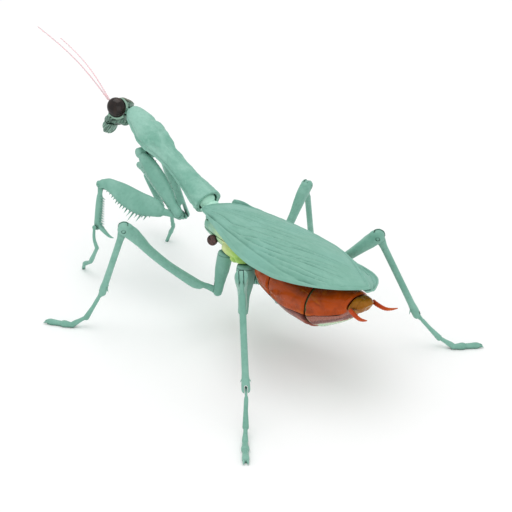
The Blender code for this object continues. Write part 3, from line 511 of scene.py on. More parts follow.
def thorax_material():
    m, t, N, L, p = nodes_of("thorax_lime_plastic")
    vec = coords(t)
    sep = N.new("ShaderNodeSeparateXYZ")
    L.new(vec, sep.inputs[0])
    wob = noise_node(t, vec, 0.22, 3.0, 0.55)
    x = maths(t, "ADD", maths(t, "SUBTRACT", sep.outputs["X"], MID.x), maths(t, "MULTIPLY", maths(t, "SUBTRACT", wob, 0.5), 7.0))
    u = maths(t, "DIVIDE", maths(t, "ADD", x, 10.0), 32.0, True)
    col = ramp(t, u, [(0.0, (0.26, 0.52, 0.10)), (0.25, (0.40, 0.66, 0.13)), (0.46, (0.70, 0.80, 0.35)),
                      (0.62, (0.46, 0.72, 0.40)), (0.76, (0.30, 0.58, 0.42)), (0.88, (0.20, 0.45, 0.34)), (1.0, (0.20, 0.45, 0.34))])
    patch = noise_node(t, vec, 0.6, 4.0, 0.6)
    col = mix(t, maths(t, "MULTIPLY", ramp(t, patch, [(0.5, (0, 0, 0)), (0.72, (1, 1, 1))]), 0.4), col, (0.78, 0.86, 0.48))
    # painted shade deep in the creases
    col = mix(t, maths(t, "MULTIPLY", painted_crease_shade(t, 1.8), 0.7), col, (0.09, 0.20, 0.06))
    L.new(col, p.inputs["Base Color"])
    fine = noise_node(t, vec, 2.4, 3.0, 0.6)
    L.new(ramp(t, fine, [(0.3, (0.34,) * 3), (0.7, (0.46,) * 3)]), p.inputs["Roughness"])
    p.inputs["Specular IOR Level"].default_value = 0.4
    rounded(t, p, 0.15, fine, 0.18, 0.03)
    return m


thorax_mat = thorax_material()


def head_material(name, a, b, dark, bands, banded=None):
    m, t, N, L, p = nodes_of(name)
    vec = coords(t)
    w = N.new("ShaderNodeTexWave")
    w.wave_type = "BANDS"
    w.bands_direction = "DIAGONAL"
    w.inputs["Scale"].default_value = bands
    w.inputs["Distortion"].default_value = 5.0
    w.inputs["Detail"].default_value = 2.0
    w.inputs["Detail Scale"].default_value = 0.5
    L.new(vec, w.inputs["Vector"])
    col = mix(t, ramp(t, w.outputs["Fac"], [(0.3, (0, 0, 0)), (0.7, (1, 1, 1))]), a, b)
    spot = noise_node(t, vec, 0.8, 4.0, 0.65)
    col = mix(t, maths(t, "MULTIPLY", ramp(t, spot, [(0.5, (0, 0, 0)), (0.66, (1, 1, 1))]), 0.55), col, dark)
    geo = N.new("ShaderNodeNewGeometry")
    edge = ramp(t, geo.outputs["Pointiness"], [(0.515, (0, 0, 0)), (0.57, (1, 1, 1))])
    valley_shade = ramp(t, geo.outputs["Pointiness"], [(0.43, (1, 1, 1)), (0.49, (0, 0, 0))])
    # painted highlight on ridges and painted shade in valleys
    col = mix(t, maths(t, "MULTIPLY", edge, 0.75), col, (0.27, 0.44, 0.35))
    col = mix(t, maths(t, "MULTIPLY", valley_shade, 0.8), col, dark)
    if banded:
        def along(axis, offset):
            d = N.new("ShaderNodeVectorMath")
            d.operation = "DOT_PRODUCT"
            L.new(vec, d.inputs[0])
            d.inputs[1].default_value = axis[:]
            return maths(t, "SUBTRACT", d.outputs["Value"], offset)
        f, u, l, o, e1, e2 = banded
        q = along(u, o.dot(u))
        w = along(l, o.dot(l))
        stripe = maths(t, "ADD", maths(t, "MULTIPLY", maths(t, "SINE", maths(t, "MULTIPLY", w, 4.6)), 0.5), 0.5)
        crown = ramp(t, maths(t, "DIVIDE", maths(t, "SUBTRACT", q, 2.2), 1.6, True), [(0.0, (0, 0, 0)), (1.0, (1, 1, 1))])
        tone = mix(t, stripe, (0.085, 0.082, 0.060), (0.24, 0.235, 0.185))
        col = mix(t, maths(t, "MULTIPLY", crown, 0.85), col, tone)
        c = o + f * 2.5 + u * 0.7
        a = maths(t, "DIVIDE", along(e1, c.dot(e1)), 3.78)
        b2 = maths(t, "DIVIDE", along(e2, c.dot(e2)), 4.14)
        r = maths(t, "SQRT", maths(t, "ADD", maths(t, "MULTIPLY", a, a), maths(t, "MULTIPLY", b2, b2)))
        ringed = ramp(t, maths(t, "MULTIPLY", r, 0.5), [(0.50, (0, 0, 0)), (0.525, (1, 1, 1)), (0.60, (1, 1, 1)), (0.66, (0, 0, 0))])
        outside = ramp(t, maths(t, "DIVIDE", maths(t, "ABSOLUTE", w), 5.0, True), [(0.70, (0, 0, 0)), (0.86, (1, 1, 1))])
        col = mix(t, maths(t, "MULTIPLY", maths(t, "MULTIPLY", ringed, outside), 0.95), col, (0.26, 0.43, 0.33))
    # painted shade deep in the creases
    col = mix(t, maths(t, "MULTIPLY", painted_crease_shade(t, 1.0, 0.45, 0.95), 0.75), col, dark)
    L.new(col, p.inputs["Base Color"])
    fine = noise_node(t, vec, 3.0, 3.0, 0.6)
    L.new(ramp(t, fine, [(0.3, (0.30,) * 3), (0.7, (0.44,) * 3)]), p.inputs["Roughness"])
    p.inputs["Specular IOR Level"].default_value = 0.45
    rounded(t, p, 0.10, fine, 0.2, 0.03)
    return m


HEAD_F = Vector((0.723, 0.687, -0.079)).normalized()
HEAD_U = Vector((0.362, -0.278, 0.890)).normalized()
HEAD_L = HEAD_U.cross(HEAD_F).normalized()
HEAD_U = HEAD_F.cross(HEAD_L).normalized()
eye_tilt = math.radians(-38.0)
eye_long = (HEAD_U * math.cos(eye_tilt) - HEAD_F * math.sin(eye_tilt)).normalized()
eye_short = eye_long.cross(HEAD_L).normalized()
head_mat = head_material("head_plastic_with_painted_shade", (0.075, 0.160, 0.118), (0.135, 0.25, 0.19), (0.012, 0.024, 0.018), 0.35,
                         (HEAD_F, HEAD_U, HEAD_L, joint_at("head_pitch"), eye_short, eye_long))
mouth_mat = head_material("mouth_plastic_with_painted_shade", (0.11, 0.22, 0.165), (0.26, 0.42, 0.34), (0.010, 0.022, 0.016), 0.5)


def eye_material():
    m, t, N, L, p = nodes_of("eye_deep_gloss")
    vec = coords(t)
    cells = N.new("ShaderNodeTexVoronoi")
    cells.inputs["Scale"].default_value = 3.2
    p.inputs["Specular IOR Level"].default_value = 0.22
    L.new(vec, cells.inputs["Vector"])
    col = mix(t, ramp(t, cells.outputs["Distance"], [(0.1, (0, 0, 0)), (0.6, (1, 1, 1))]), (0.020, 0.010, 0.007), (0.006, 0.003, 0.003))
    slow = noise_node(t, vec, 0.25, 2.0, 0.5)
    col = mix(t, ramp(t, slow, [(0.4, (0, 0, 0)), (0.7, (1, 1, 1))]), col, (0.035, 0.018, 0.012))
    L.new(col, p.inputs["Base Color"])
    L.new(ramp(t, noise_node(t, vec, 1.5, 3.0, 0.6), [(0.3, (0.10,) * 3), (0.7, (0.2,) * 3)]), p.inputs["Roughness"])
    p.inputs["Coat Weight"].default_value = 0.3
    p.inputs["Coat Roughness"].default_value = 0.08
    bp = N.new("ShaderNodeBump")
    bp.inputs["Strength"].default_value = 0.12
    bp.inputs["Distance"].default_value = 0.02 * MM
    L.new(cells.outputs["Distance"], bp.inputs["Height"])
    L.new(bp.outputs["Normal"], p.inputs["Normal"])
    return m


eye_mat = eye_material()


def abdomen_material(name, deep, mid, bright, gloss=0.24, seams=True):
    """Amber plastic: darker towards the back, with painted shade in the seams, brighter along each ring's lower rim."""
    m, t, N, L, p = nodes_of(name)
    vec = coords(t)
    sep = N.new("ShaderNodeSeparateXYZ")
    L.new(vec, sep.inputs[0])
    streak_map = N.new("ShaderNodeMapping")
    streak_map.inputs["Scale"].default_value = (0.35, 1.0, 1.0)
    L.new(vec, streak_map.inputs["Vector"])
    streak = noise_node(t, streak_map.outputs["Vector"], 0.32, 2.0, 0.5, 0.6)
    behind = maths(t, "SUBTRACT", MID.x - 44.0, sep.outputs["X"])
    rise = maths(t, "MULTIPLY", maths(t, "MAXIMUM", behind, 0.0), 0.42)
    z = maths(t, "SUBTRACT", maths(t, "SUBTRACT", sep.outputs["Z"], rise), 24.0)
    h = maths(t, "ADD", maths(t, "DIVIDE", z, 14.0), maths(t, "MULTIPLY", maths(t, "SUBTRACT", streak, 0.5), 0.55), False)
    col = ramp(t, maths(t, "ADD", h, 0.0, True), [(0.0, bright), (0.16, mid), (0.62, mid), (0.95, deep), (1.0, deep)])
    flecks = noise_node(t, vec, 0.22, 2.0, 0.5, 0.4)
    col = mix(t, maths(t, "MULTIPLY", ramp(t, flecks, [(0.45, (0, 0, 0)), (0.75, (1, 1, 1))]), 0.55), col, deep)
    col = mix(t, maths(t, "MULTIPLY", ramp(t, streak, [(0.55, (0, 0, 0)), (0.75, (1, 1, 1))]), 0.45), col, bright)
    # painted shade deep in the seams and creases
    col = mix(t, maths(t, "MULTIPLY", painted_crease_shade(t, 1.6, 0.4, 0.95), 0.9), col, (0.045, 0.008, 0.004))
    L.new(col, p.inputs["Base Color"])
    L.new(ramp(t, noise_node(t, vec, 0.5, 2.0, 0.5), [(0.3, (gloss - 0.06,) * 3), (0.7, (gloss + 0.06,) * 3)]), p.inputs["Roughness"])
    p.inputs["Specular IOR Level"].default_value = 0.14
    p.inputs["Coat Weight"].default_value = 0.10
    p.inputs["Coat Roughness"].default_value = 0.12
    rounded(t, p, 0.2, noise_node(t, vec, 0.5, 3.0, 0.5), 0.12, 0.06)
    return m


amber = abdomen_material("amber_gloss_plastic", (0.17, 0.022, 0.002), (0.45, 0.064, 0.003), (0.62, 0.17, 0.008))
olive = abdomen_material("olive_gloss_plastic", (0.17, 0.045, 0.003), (0.32, 0.12, 0.006), (0.46, 0.26, 0.015))
maroon = abdomen_material("maroon_gloss_plastic", (0.050, 0.008, 0.005), (0.15, 0.022, 0.012), (0.34, 0.085, 0.050), 0.20)
cercus_mat = abdomen_material("cercus_plastic", (0.34, 0.035, 0.006), (0.52, 0.065, 0.010), (0.66, 0.16, 0.03), 0.3)


def belly_material():
    m, t, N, L, p = nodes_of("belly_pale_plastic")
    vec = coords(t)
    sep = N.new("ShaderNodeSeparateXYZ")
    L.new(vec, sep.inputs[0])
    # maroon along the upper border, pale green below, as on the rear belly plate
    x = maths(t, "SUBTRACT", sep.outputs["X"], MID.x)
    mid_z = maths(t, "ADD", 24.9, maths(t, "MULTIPLY", maths(t, "MULTIPLY", maths(t, "ADD", x, 47.0), -0.47), 1.0))
    wob = noise_node(t, vec, 0.5, 4.0, 0.6, 0.6)
    h = maths(t, "ADD", maths(t, "DIVIDE", maths(t, "SUBTRACT", sep.outputs["Z"], mid_z), 3.2), maths(t, "MULTIPLY", maths(t, "SUBTRACT", wob, 0.5), 0.5))
    col = ramp(t, maths(t, "ADD", h, 0.5, True), [(0.0, (0.44, 0.68, 0.42)), (0.30, (0.52, 0.72, 0.46)), (0.40, (0.30, 0.10, 0.05)), (0.62, (0.15, 0.022, 0.012)), (0.84, (0.15, 0.022, 0.012)), (1.0, (0.30, 0.075, 0.04))])
    # painted shade deep in the creases
    col = mix(t, maths(t, "MULTIPLY", painted_crease_shade(t, 1.2, 0.4, 0.95), 0.7), col, (0.06, 0.03, 0.02))
    L.new(col, p.inputs["Base Color"])
    L.new(ramp(t, noise_node(t, vec, 1.8, 3.0, 0.6), [(0.3, (0.20,) * 3), (0.7, (0.34,) * 3)]), p.inputs["Roughness"])
    p.inputs["Coat Weight"].default_value = 0.4
    p.inputs["Coat Roughness"].default_value = 0.12
    rounded(t, p, 0.2, noise_node(t, vec, 1.1, 4.0, 0.6), 0.2, 0.06)
    return m


belly_mat = belly_material()


def brown_material():
    m, t, N, L, p = nodes_of("brown_gloss_plastic")
    vec = coords(t)
    spot = noise_node(t, vec, 0.7, 4.0, 0.65, 0.5)
    col = mix(t, ramp(t, spot, [(0.4, (0, 0, 0)), (0.65, (1, 1, 1))]), (0.060, 0.026, 0.024), (0.13, 0.048, 0.040))
    geo = N.new("ShaderNodeNewGeometry")
    edge = ramp(t, geo.outputs["Pointiness"], [(0.52, (0, 0, 0)), (0.6, (1, 1, 1))])
    col = mix(t, edge, col, (0.012, 0.006, 0.005))
    # painted shade deep in the creases
    col = mix(t, maths(t, "MULTIPLY", painted_crease_shade(t, 0.8), 0.8), col, (0.006, 0.003, 0.003))
    L.new(col, p.inputs["Base Color"])
    L.new(ramp(t, noise_node(t, vec, 2.4, 3.0, 0.6), [(0.3, (0.26,) * 3), (0.7, (0.42,) * 3)]), p.inputs["Roughness"])
    rounded(t, p, 0.12, noise_node(t, vec, 2.4, 3.0, 0.6), 0.2, 0.03)
    return m


brown = brown_material()


def bristle_material():
    m, t, N, L, p = nodes_of("pink_bristle")
    vec = coords(t)
    w = N.new("ShaderNodeTexWave")
    w.bands_direction = "Z"
    w.inputs["Scale"].default_value = 0.55
    w.inputs["Distortion"].default_value = 1.0
    L.new(vec, w.inputs["Vector"])
    col = mix(t, w.outputs["Fac"], (0.80, 0.50, 0.54), (0.92, 0.70, 0.73))
    col = mix(t, maths(t, "MULTIPLY", noise_node(t, vec, 0.4, 3.0), 0.5), col, (0.95, 0.78, 0.80))
    L.new(col, p.inputs["Base Color"])
    L.new(ramp(t, noise_node(t, vec, 3.0, 2.0), [(0.3, (0.42,) * 3), (0.7, (0.58,) * 3)]), p.inputs["Roughness"])
    p.inputs["Subsurface Weight"].default_value = 0.3
    p.inputs["Subsurface Radius"].default_value = (0.0006, 0.0003, 0.0003)
    return m


bristle = bristle_material()


# ================================================================ walking legs
LEG_LENGTHS = {"hind": (18.5, 50.5, 37.9, 12.4, 6.8, 9.8), "mid": (17.0, 45.5, 32.5, 12.5, 6.9, 10.2)}
FOOT_RUNS = {
    "hind_left": ((142.1, -48.6), (140.7, -25.4), (144.4, -0.8)),
    "hind_right": ((-134.5, -46.5), (-147.2, -25.2), (-120.4, -1.1)),
    "mid_left": ((49.9, -58.8), (57.7, -28.9), (35.3, -0.9)),
    "mid_right": ((-19.1, -32.1), (-39.9, -19.6), (-60.0, -1.0)),}
HIP_RADIUS = {"hind": 3.45, "mid": 2.85}
BOW = {"hind": -0.2, "mid": -1.9}
GAP = 0.3


def direction(azimuth, elevation):
    a, e = math.radians(azimuth), math.radians(elevation)
    return Vector((math.cos(e) * math.cos(a), math.cos(e) * math.sin(a), math.sin(e)))


def fork_slot(joint, into, hinge, slot, tongue_r, reach=7.0):
    d, h, m = frame_of(into, hinge)
    depth = tongue_r + GAP + 0.1
    # a slot with a rounded floor
    a = joint + d * (depth - slot * 0.5)
    back = joint - d * reach
    box = block((a + back) / 2.0, d * ((a - back).length / 2.0), h * (slot / 2.0), m * (reach - 1.0))
    floor = loft([[a + m * v + (h * math.cos(t) + d * math.sin(t)) * (slot / 2.0) for t in [2 * math.pi * j / 24 for j in range(24)]] for v in (-(reach - 1.0), reach - 1.0)])
    return box, floor


def ridged(count, depth, start=0.0):
    """Faint lengthwise facets and moulding line."""
    def f(x, t):
        return 1.0 + depth * math.cos(count * (t - start)) - 0.018 * math.exp(-((math.cos(t)) / 0.06) ** 2)
    return f


def leg(kind, side):
    key = kind + "_" + side
    H, T, K, A = [joint_at("%s_%s_%s_joint" % (kind, p, side)) for p in ("coxa", "femur", "tibia", "tarsus")]
    hinge = joint_axis("%s_tibia_%s_joint" % (kind, side))
    runs = FOOT_RUNS[key]
    L = LEG_LENGTHS[kind]
    B = A + direction(*runs[0]) * L[3]
    G = B + direction(*runs[1]) * L[4]
    P = G + direction(*runs[2]) * L[5]
    name = lambda part: kind + "_" + part + "_" + side
    top, bow = HIP_RADIUS[kind], BOW[kind]

    axis = (T - H).normalized()
    ax, s_, m_ = frame_of(axis, hinge)
    coxa = make(name("coxa_shell"), limb(H, T, hinge, [
        (-2.4, 0.6, 0.6), (-2.1, 1.05, 1.05), (-0.6, 1.1, 1.1), (0.3, 1.1, 1.1), (0.45, top * 0.72, top * 0.72), (1.1, top * 0.93, top * 0.95),
        (3.0, top, top), (7.5, top * 0.93, top * 0.95), (L[0] - 5.0, 2.05, 2.15), (L[0] - 1.4, 1.95, 2.0), (L[0] + 0.6, 1.85, 1.75),
        (L[0] + 1.5, 1.1, 1.0), (L[0] + 1.95, 0.3, 0.3)], 40, 0.9, 0.4, ridged(4, 0.012)))
    # a slot for the femur at the lower end and a collar groove under the hip
    cut(coxa, *fork_slot(T, H - T, hinge, 2.1, 4.3))
    ringcut = merge([limb(H + axis * 1.75, H + axis * 2.0, hinge, [(0.0, top + 0.5, top + 0.5), (0.25, top + 0.5, top + 0.5)], 40, 1.0, 0.2)])
    core = revolve(H + axis * 1.0, axis, [(0.0, top - 0.16), (2.0, top - 0.16)], 40)
    groove = make("groove", ringcut)
    cut(groove, core)
    finish_groove = groove
    mod = coxa.modifiers.new("g", "BOOLEAN")
    mod.operation, mod.solver, mod.object = "DIFFERENCE", "MANIFOLD", finish_groove
    bake(coxa)
    bpy.data.objects.remove(finish_groove, do_unlink=True)
    finish_piece(coxa, name("coxa"), teal, "teal_plastic", name("coxa"))

    tw = 0.65
    femur = make(name("femur_shell"), limb(T, K, hinge, [
        (-1.45, tw * 0.5, 0.45), (-0.95, tw, 1.15), (0.0, tw, 1.5), (5.3, tw, 1.35, 0.45 * bow), (6.3, 1.3, 1.6, 0.95 * bow),
        (9.5, 1.65, 1.9, 1.4 * bow), (L[1] * 0.45, 1.55, 1.65, 1.5 * bow), (L[1] * 0.7, 1.65, 1.75, 1.0 * bow),
        (L[1] - 8.0, 2.05, 2.1, 0.35 * bow), (L[1] - 3.5, 2.25, 2.5), (L[1], 2.3, 2.5), (L[1] + 1.5, 2.0, 1.95), (L[1] + 2.4, 0.9, 0.7)],
        36, 0.86, 0.45, ridged(6, 0.012)))
    dk, sk, mk = frame_of(K - T, hinge)
    join(femur, merge([ellipsoid(K - dk * 1.2 + mk * (u * 1.6), dk * 1.9, mk * 1.15, sk * 1.7, 28, 16) for u in (-1.0, 1.0)]))
    h = hinge.normalized()
    cut(femur, rod(K - h * 0.92, K + h * 0.92, 2.42, n=56))
    cut(femur, block(K + dk * 3.5, dk * 3.5, h * 0.92, mk * 6.0))
    low = -mk if mk.dot(A - K) < 0 else mk
    cut(femur, block(K + low * 3.5 - dk * 1.1, dk * 3.2, h * 0.92, mk * 3.5))
    cut(femur, rod(K - h * 3.5, K + h * 3.5, 0.80, n=36))
    finish_piece(femur, name("femur"), teal, "teal_plastic", name("femur"))

    kw = 0.8
    tibia = make(name("tibia_shell"), limb(K, A, hinge, [
        (-1.95, kw * 0.5, 0.6), (-1.3, kw, 1.55), (0.0, kw, 2.0), (5.3, kw, 1.3), (6.1, 1.15, 1.25),
        (L[2] * 0.5, 1.15, 1.2), (L[2] * 0.85, 1.2, 1.28), (L[2] - 2.6, 1.42, 1.48),
        (L[2], 1.5, 1.45), (L[2] + 1.0, 1.2, 0.95), (L[2] + 1.4, 0.5, 0.3)], 32, 0.88, 0.4, ridged(4, 0.014)))
    d, s, m = frame_of(A - K, hinge)
    spurs = [cone(K + d * (L[2] - 3.6) + (s * w * 1.0 - m * 0.9), K + d * (L[2] - 2.2) + (s * w * 1.9 - m * 1.9), 0.34) for w in (-1, 1)]
    join(tibia, merge(spurs))
    join(tibia, revolve(K, h, [(-0.8, 0.1), (-0.8, 1.9), (-0.68, 2.12), (0.68, 2.12), (0.8, 1.9), (0.8, 0.1)], 56, smooth=False))
    cut(tibia, rod(K - h * 3.5, K + h * 3.5, 0.80, n=36))
    cut(tibia, *fork_slot(A, K - A, hinge, 1.16, 1.1, 4.0))
    finish_piece(tibia, name("tibia"), teal, "teal_plastic", name("tibia"))

    pin = make(kind + "_knee_pin_head_" + side, revolve(K, h, [(-2.28, 0.05), (-2.26, 0.42), (-2.18, 0.62), (-2.0, 0.70), (2.0, 0.70), (2.18, 0.62), (2.26, 0.42), (2.28, 0.05)], 32, 0.2))
    finish_piece(pin, name("femur"), teal, "teal_plastic", kind + "_knee_pin_" + side)

    d1, d2, d3 = (B - A).normalized(), (G - B).normalized(), (P - G).normalized()
    aw = 0.45
    neck = (B - A - hinge * hinge.dot(B - A)).normalized()
    tarsus = make(name("tarsus_shell"), limb(A, A + neck, hinge, [
        (-1.05, aw * 0.5, 0.3), (-0.7, aw, 0.85), (0.0, aw, 1.1), (2.2, aw, 0.8), (3.1, aw * 0.9, 0.5)], 28, 0.85, 0.3))
    ends = [A + neck * 2.0, A + neck * 3.0 + d1 * 0.3, A + (B - A) * 0.55, B - d1 * 2.6, B + d1 * 0.4]
    seg = lambda p, q, ra, rb, bulge: limb(p, q, Z, [(-0.35, ra * 0.35, ra * 0.35), (0.0, ra, ra), ((q - p).length * 0.45, bulge * 0.9, bulge * 0.9),
                                                     ((q - p).length * 0.8, rb, rb), ((q - p).length + 0.25, rb * 0.8, rb * 0.75), ((q - p).length + 0.6, rb * 0.25, rb * 0.2)], 26, 0.92, 0.3)
    join(tarsus, tube(ends, [0.35, 0.72, 0.75, 0.92, 1.12], 26))
    join(tarsus, seg(B - d2 * 0.6, G + d2 * 0.1, 0.62, 1.05, 0.85))
    join(tarsus, seg(G - d3 * 1.1, G + d3 * 3.9, 0.8, 1.4, 1.25))
    join(tarsus, seg(G + d3 * 3.6, P - d3 * 0.6, 0.95, 1.25, 1.22))
    side3 = Z.cross(d3).normalized()
    claws = [tube([P - d3 * 1.6 + side3 * 0.35 * w, P - d3 * 0.2 + side3 * 0.6 * w + Z * 0.15, P + d3 * 0.7 + side3 * 0.75 * w - Z * 0.1, P + d3 * 1.2 + side3 * 0.65 * w - Z * 0.4],
                  [0.55, 0.45, 0.28, 0.1], 16) for w in (-1, 1)]
    join(tarsus, claws[0])
    join(tarsus, claws[1])
    cut(tarsus, block(Vector((G.x, G.y, -5.0)), X * 30.0, Y * 30.0, Z * 5.0))
    finish_piece(tarsus, name("tarsus"), teal, "teal_plastic", name("tarsus"))


for kind in ("hind", "mid"):
    for side in SIDES:
        leg(kind, side)

# ================================================================ forelegs
FORE_LENGTHS = (34.3, 38.2, 17.9)
FORE_TARSUS = {
    "left": ((-2.0, 1.9, -8.4), (3.2, 2.2, -16.7), (8.4, 2.2, -19.6), (10.6, 1.6, -23.25)),
    "right": ((-11.6, 1.4, -4.5), (-12.9, 1.9, -6.2), (-11.0, 2.4, -10.1), (-9.1, 3.1, -14.6)),
}


def foreleg(side):
    sign = SIDES[side]
    S, T, K, A = [joint_at("fore_%s_%s_joint" % (p, side)) for p in ("coxa", "femur", "tibia", "tarsus")]
    hinge = joint_axis("fore_tibia_%s_joint" % side)
    hinge_t = joint_axis("fore_femur_%s_joint" % side)
    name = lambda part: "fore_" + part + "_" + side
    inward = Vector((0.0, -sign, 0.0))

    rise = 1.0 if frame_of(T - S, hinge_t)[2].z > 0 else -1.0
    coxa = make(name("coxa_shell"), limb(S, T, hinge_t, [
        (0.6, 0.5, 0.5), (1.4, 1.4, 1.5), (2.4, 1.75, 1.95), (6.0, 1.95, 2.75, 0.4 * rise), (15.0, 2.05, 3.1, 0.5 * rise), (24.0, 1.95, 2.6, 0.3 * rise), (29.0, 1.95, 1.95),
        (33.9, 2.1, 1.85), (35.0, 1.8, 1.35), (35.6, 0.6, 0.5)], 40, 0.84, 0.45, ridged(4, 0.02)))
    join(coxa, revolve(S, -inward, [(-1.5, 1.7), (-1.35, 2.0), (-0.8, 2.1), (0.9, 2.1), (1.35, 1.95), (1.6, 1.5), (1.68, 0.2)], 40, 0.3))
    join(coxa, rod(S + inward * 1.2, S + inward * 2.6, 0.85, n=32))
    d, s, m = frame_of(T - S, hinge_t)
    up_m = m * rise
    tall = 3.75 if side == "left" else 4.3
    teeth = [cone(S + d * x + up_m * 2.7, S + d * (x + 0.35) + up_m * tall, 0.34, 8) for x in (7.0, 9.5, 12.0, 14.5, 17.0, 19.5, 22.0)]
    teeth += [cone(S + d * x - up_m * 1.8, S + d * (x + 0.35) - up_m * 3.1, 0.34, 8) for x in (6.0, 8.5, 11.0, 13.5, 16.0, 18.5, 21.0)]
    join(coxa, merge(teeth))
    cut(coxa, *fork_slot(T, S - T, hinge_t, 2.0, 6.6))
    finish_piece(coxa, name("coxa"), teal, "teal_plastic", name("coxa"))

    df, sf, mf = frame_of(K - T, hinge_t)
    dn = mf if mf.dot(A - K) > 0 else -mf
    back = -1.0 if mf.dot(A - K) > 0 else 1.0
    rows = [(-1.5, 0.35, 0.45, 0.0), (-1.0, 0.7, 1.15, 0.0), (0.0, 0.7, 1.55, 0.0), (6.5, 0.7, 1.45, -0.9), (7.5, 1.3, 2.0, -1.2),
            (10.4, 1.75, 3.3, -0.9), (17.0, 1.95, 4.5, -1.3), (26.0, 1.85, 4.2, -0.3), (32.0, 1.85, 3.0, 0.9), (35.2, 1.9, 2.5, 1.2),
            (38.0, 1.9, 2.0, 0.3), (39.4, 1.6, 1.3, 0.1), (39.9, 0.6, 0.4, 0.0)]
    down = 1.0 if mf.dot(dn) > 0 else -1.0

    def blade(x, t):
        """Lengthwise hollow on each flank with a raised back and belly rim."""
        v = abs(math.cos(t))
        u = min(max((x - 9.0) / 6.0, 0.0), 1.0) * min(max((34.0 - x) / 5.0, 0.0), 1.0)
        return 1.0 - 0.10 * u * v ** 6 + 0.012 * math.cos(6 * t)
    femur = make(name("femur_shell"), limb(T, K, hinge_t, [(x, w, t, o * back) for x, w, t, o in rows], 48, 0.9, 0.4, blade))

    def edge(x):
        t = pchip([r[0] for r in rows], [r[2] for r in rows], x)
        o = pchip([r[0] for r in rows], [r[3] for r in rows], x)
        return T + df * x + dn * (t - o)
    big = [(13.2, 1.9), (15.6, 2.9), (18.9, 3.9), (22.4, 2.0), (25.4, 1.5), (28.2, 1.3), (31.0, 1.0)]
    small = [(11.4, 0.9), (14.4, 1.0), (17.2, 1.2), (20.6, 1.1), (23.9, 0.9), (26.8, 0.8), (29.6, 0.7), (32.4, 0.6), (34.0, 0.6)]
    spines = []
    for x, l in big:
        p = edge(x) - dn * 0.5
        spines.append(cone(p + sf * 0.35, p + dn * (l + 0.5) + df * (0.25 * l) + sf * 0.55, 0.42, 10))
    for x, l in big:
        p = edge(x + 0.8) - dn * 0.5
        spines.append(cone(p - sf * 0.65, p + dn * (l * 0.7 + 0.5) + df * (0.2 * l) - sf * 0.9, 0.36, 10))
    join(femur, merge(spines[:len(big)]))
    join(femur, merge(spines[len(big):]))
    join(femur, merge([cone(edge(x) - dn * 0.45 - sf * 0.1, edge(x) + dn * l + df * 0.1 - sf * 0.1, 0.30, 8) for x, l in small]))
    hk = hinge.normalized()
    cut(femur, rod(K - hk * 0.78, K + hk * 0.78, 1.95, n=48))
    cut(femur, block(K + df * 3.2, df * 3.2, hk * 0.78, df.cross(hk) * 5.0))
    cut(femur, block(K + dn * 3.4 - df * 0.4, df * 2.2, hk * 0.78, dn * 3.4))
    cut(femur, rod(K - hinge * 3.0, K + hinge * 3.0, 0.66, n=32))
    finish_piece(femur, name("femur"), teal, "teal_plastic", name("femur"))

    tibia = make(name("tibia_shell"), limb(K, A, hinge, [
        (-1.3, 0.3, 0.4), (-0.85, 0.65, 1.0), (0.0, 0.65, 1.35), (4.0, 0.65, 1.05), (4.8, 1.1, 1.15),
        (9.0, 1.25, 1.4), (16.2, 1.3, 1.35), (18.6, 1.2, 1.15), (19.3, 0.5, 0.5)], 36, 0.88, 0.4, ridged(4, 0.016)))
    d, s, m = frame_of(A - K, hinge)
    fold = m if m.dot(T - K) > 0 else -m
    join(tibia, revolve(K, hinge.normalized(), [(-0.65, 0.1), (-0.65, 1.45), (-0.55, 1.68), (0.55, 1.68), (0.65, 1.45), (0.65, 0.1)], 48, smooth=False))
    reach = 1.0 if side == "left" else 0.4
    join(tibia, tube([A - d * 2.4 + fold * 0.5, A - d * 0.4 + fold * 1.5 * reach, A + d * 1.0 + fold * 3.6 * reach, A + d * 2.1 + fold * 5.6 * reach, A + d * 2.5 + fold * 7.0 * reach, A + d * 2.5 + fold * 8.3 * reach],
                     [0.8, 1.0, 0.85, 0.62, 0.42, 0.14], 26, hinge))
    for shift, count, lean in ((0.45, 13, 1.0), (-0.45, 12, -1.0)):
        saw = []
        for i in range(count):
            x = 5.0 + i * 1.05 + (0.5 if lean < 0 else 0.0)
            l = (1.25 + 0.85 * (i / 12.0) ** 1.5) * (1.0 if side == "left" else 0.2)
            base = K + d * x + fold * 0.75
            saw.append(cone(base + s * shift, base + fold * (l + 0.5) + d * 0.45 + s * (shift * 1.3), 0.42, 8))
        join(tibia, merge(saw))
    out = hinge if hinge.y * sign > 0 else -hinge
    cut(tibia, rod(K - hinge * 3.0, K + hinge * 3.0, 0.66, n=32))
    cut(tibia, rod(A + out * 0.1, A + out * 3.0, 0.85, n=32))
    finish_piece(tibia, name("tibia"), teal, "teal_plastic", name("tibia"))
    pin = make("fore_knee_pin_head_" + side, revolve(K, hinge, [(-1.86, 0.05), (-1.84, 0.35), (-1.76, 0.52), (-1.6, 0.58), (1.6, 0.58), (1.76, 0.52), (1.84, 0.35), (1.86, 0.05)], 28, 0.2))
    finish_piece(pin, name("femur"), teal, "teal_plastic", "fore_knee_pin_" + side)

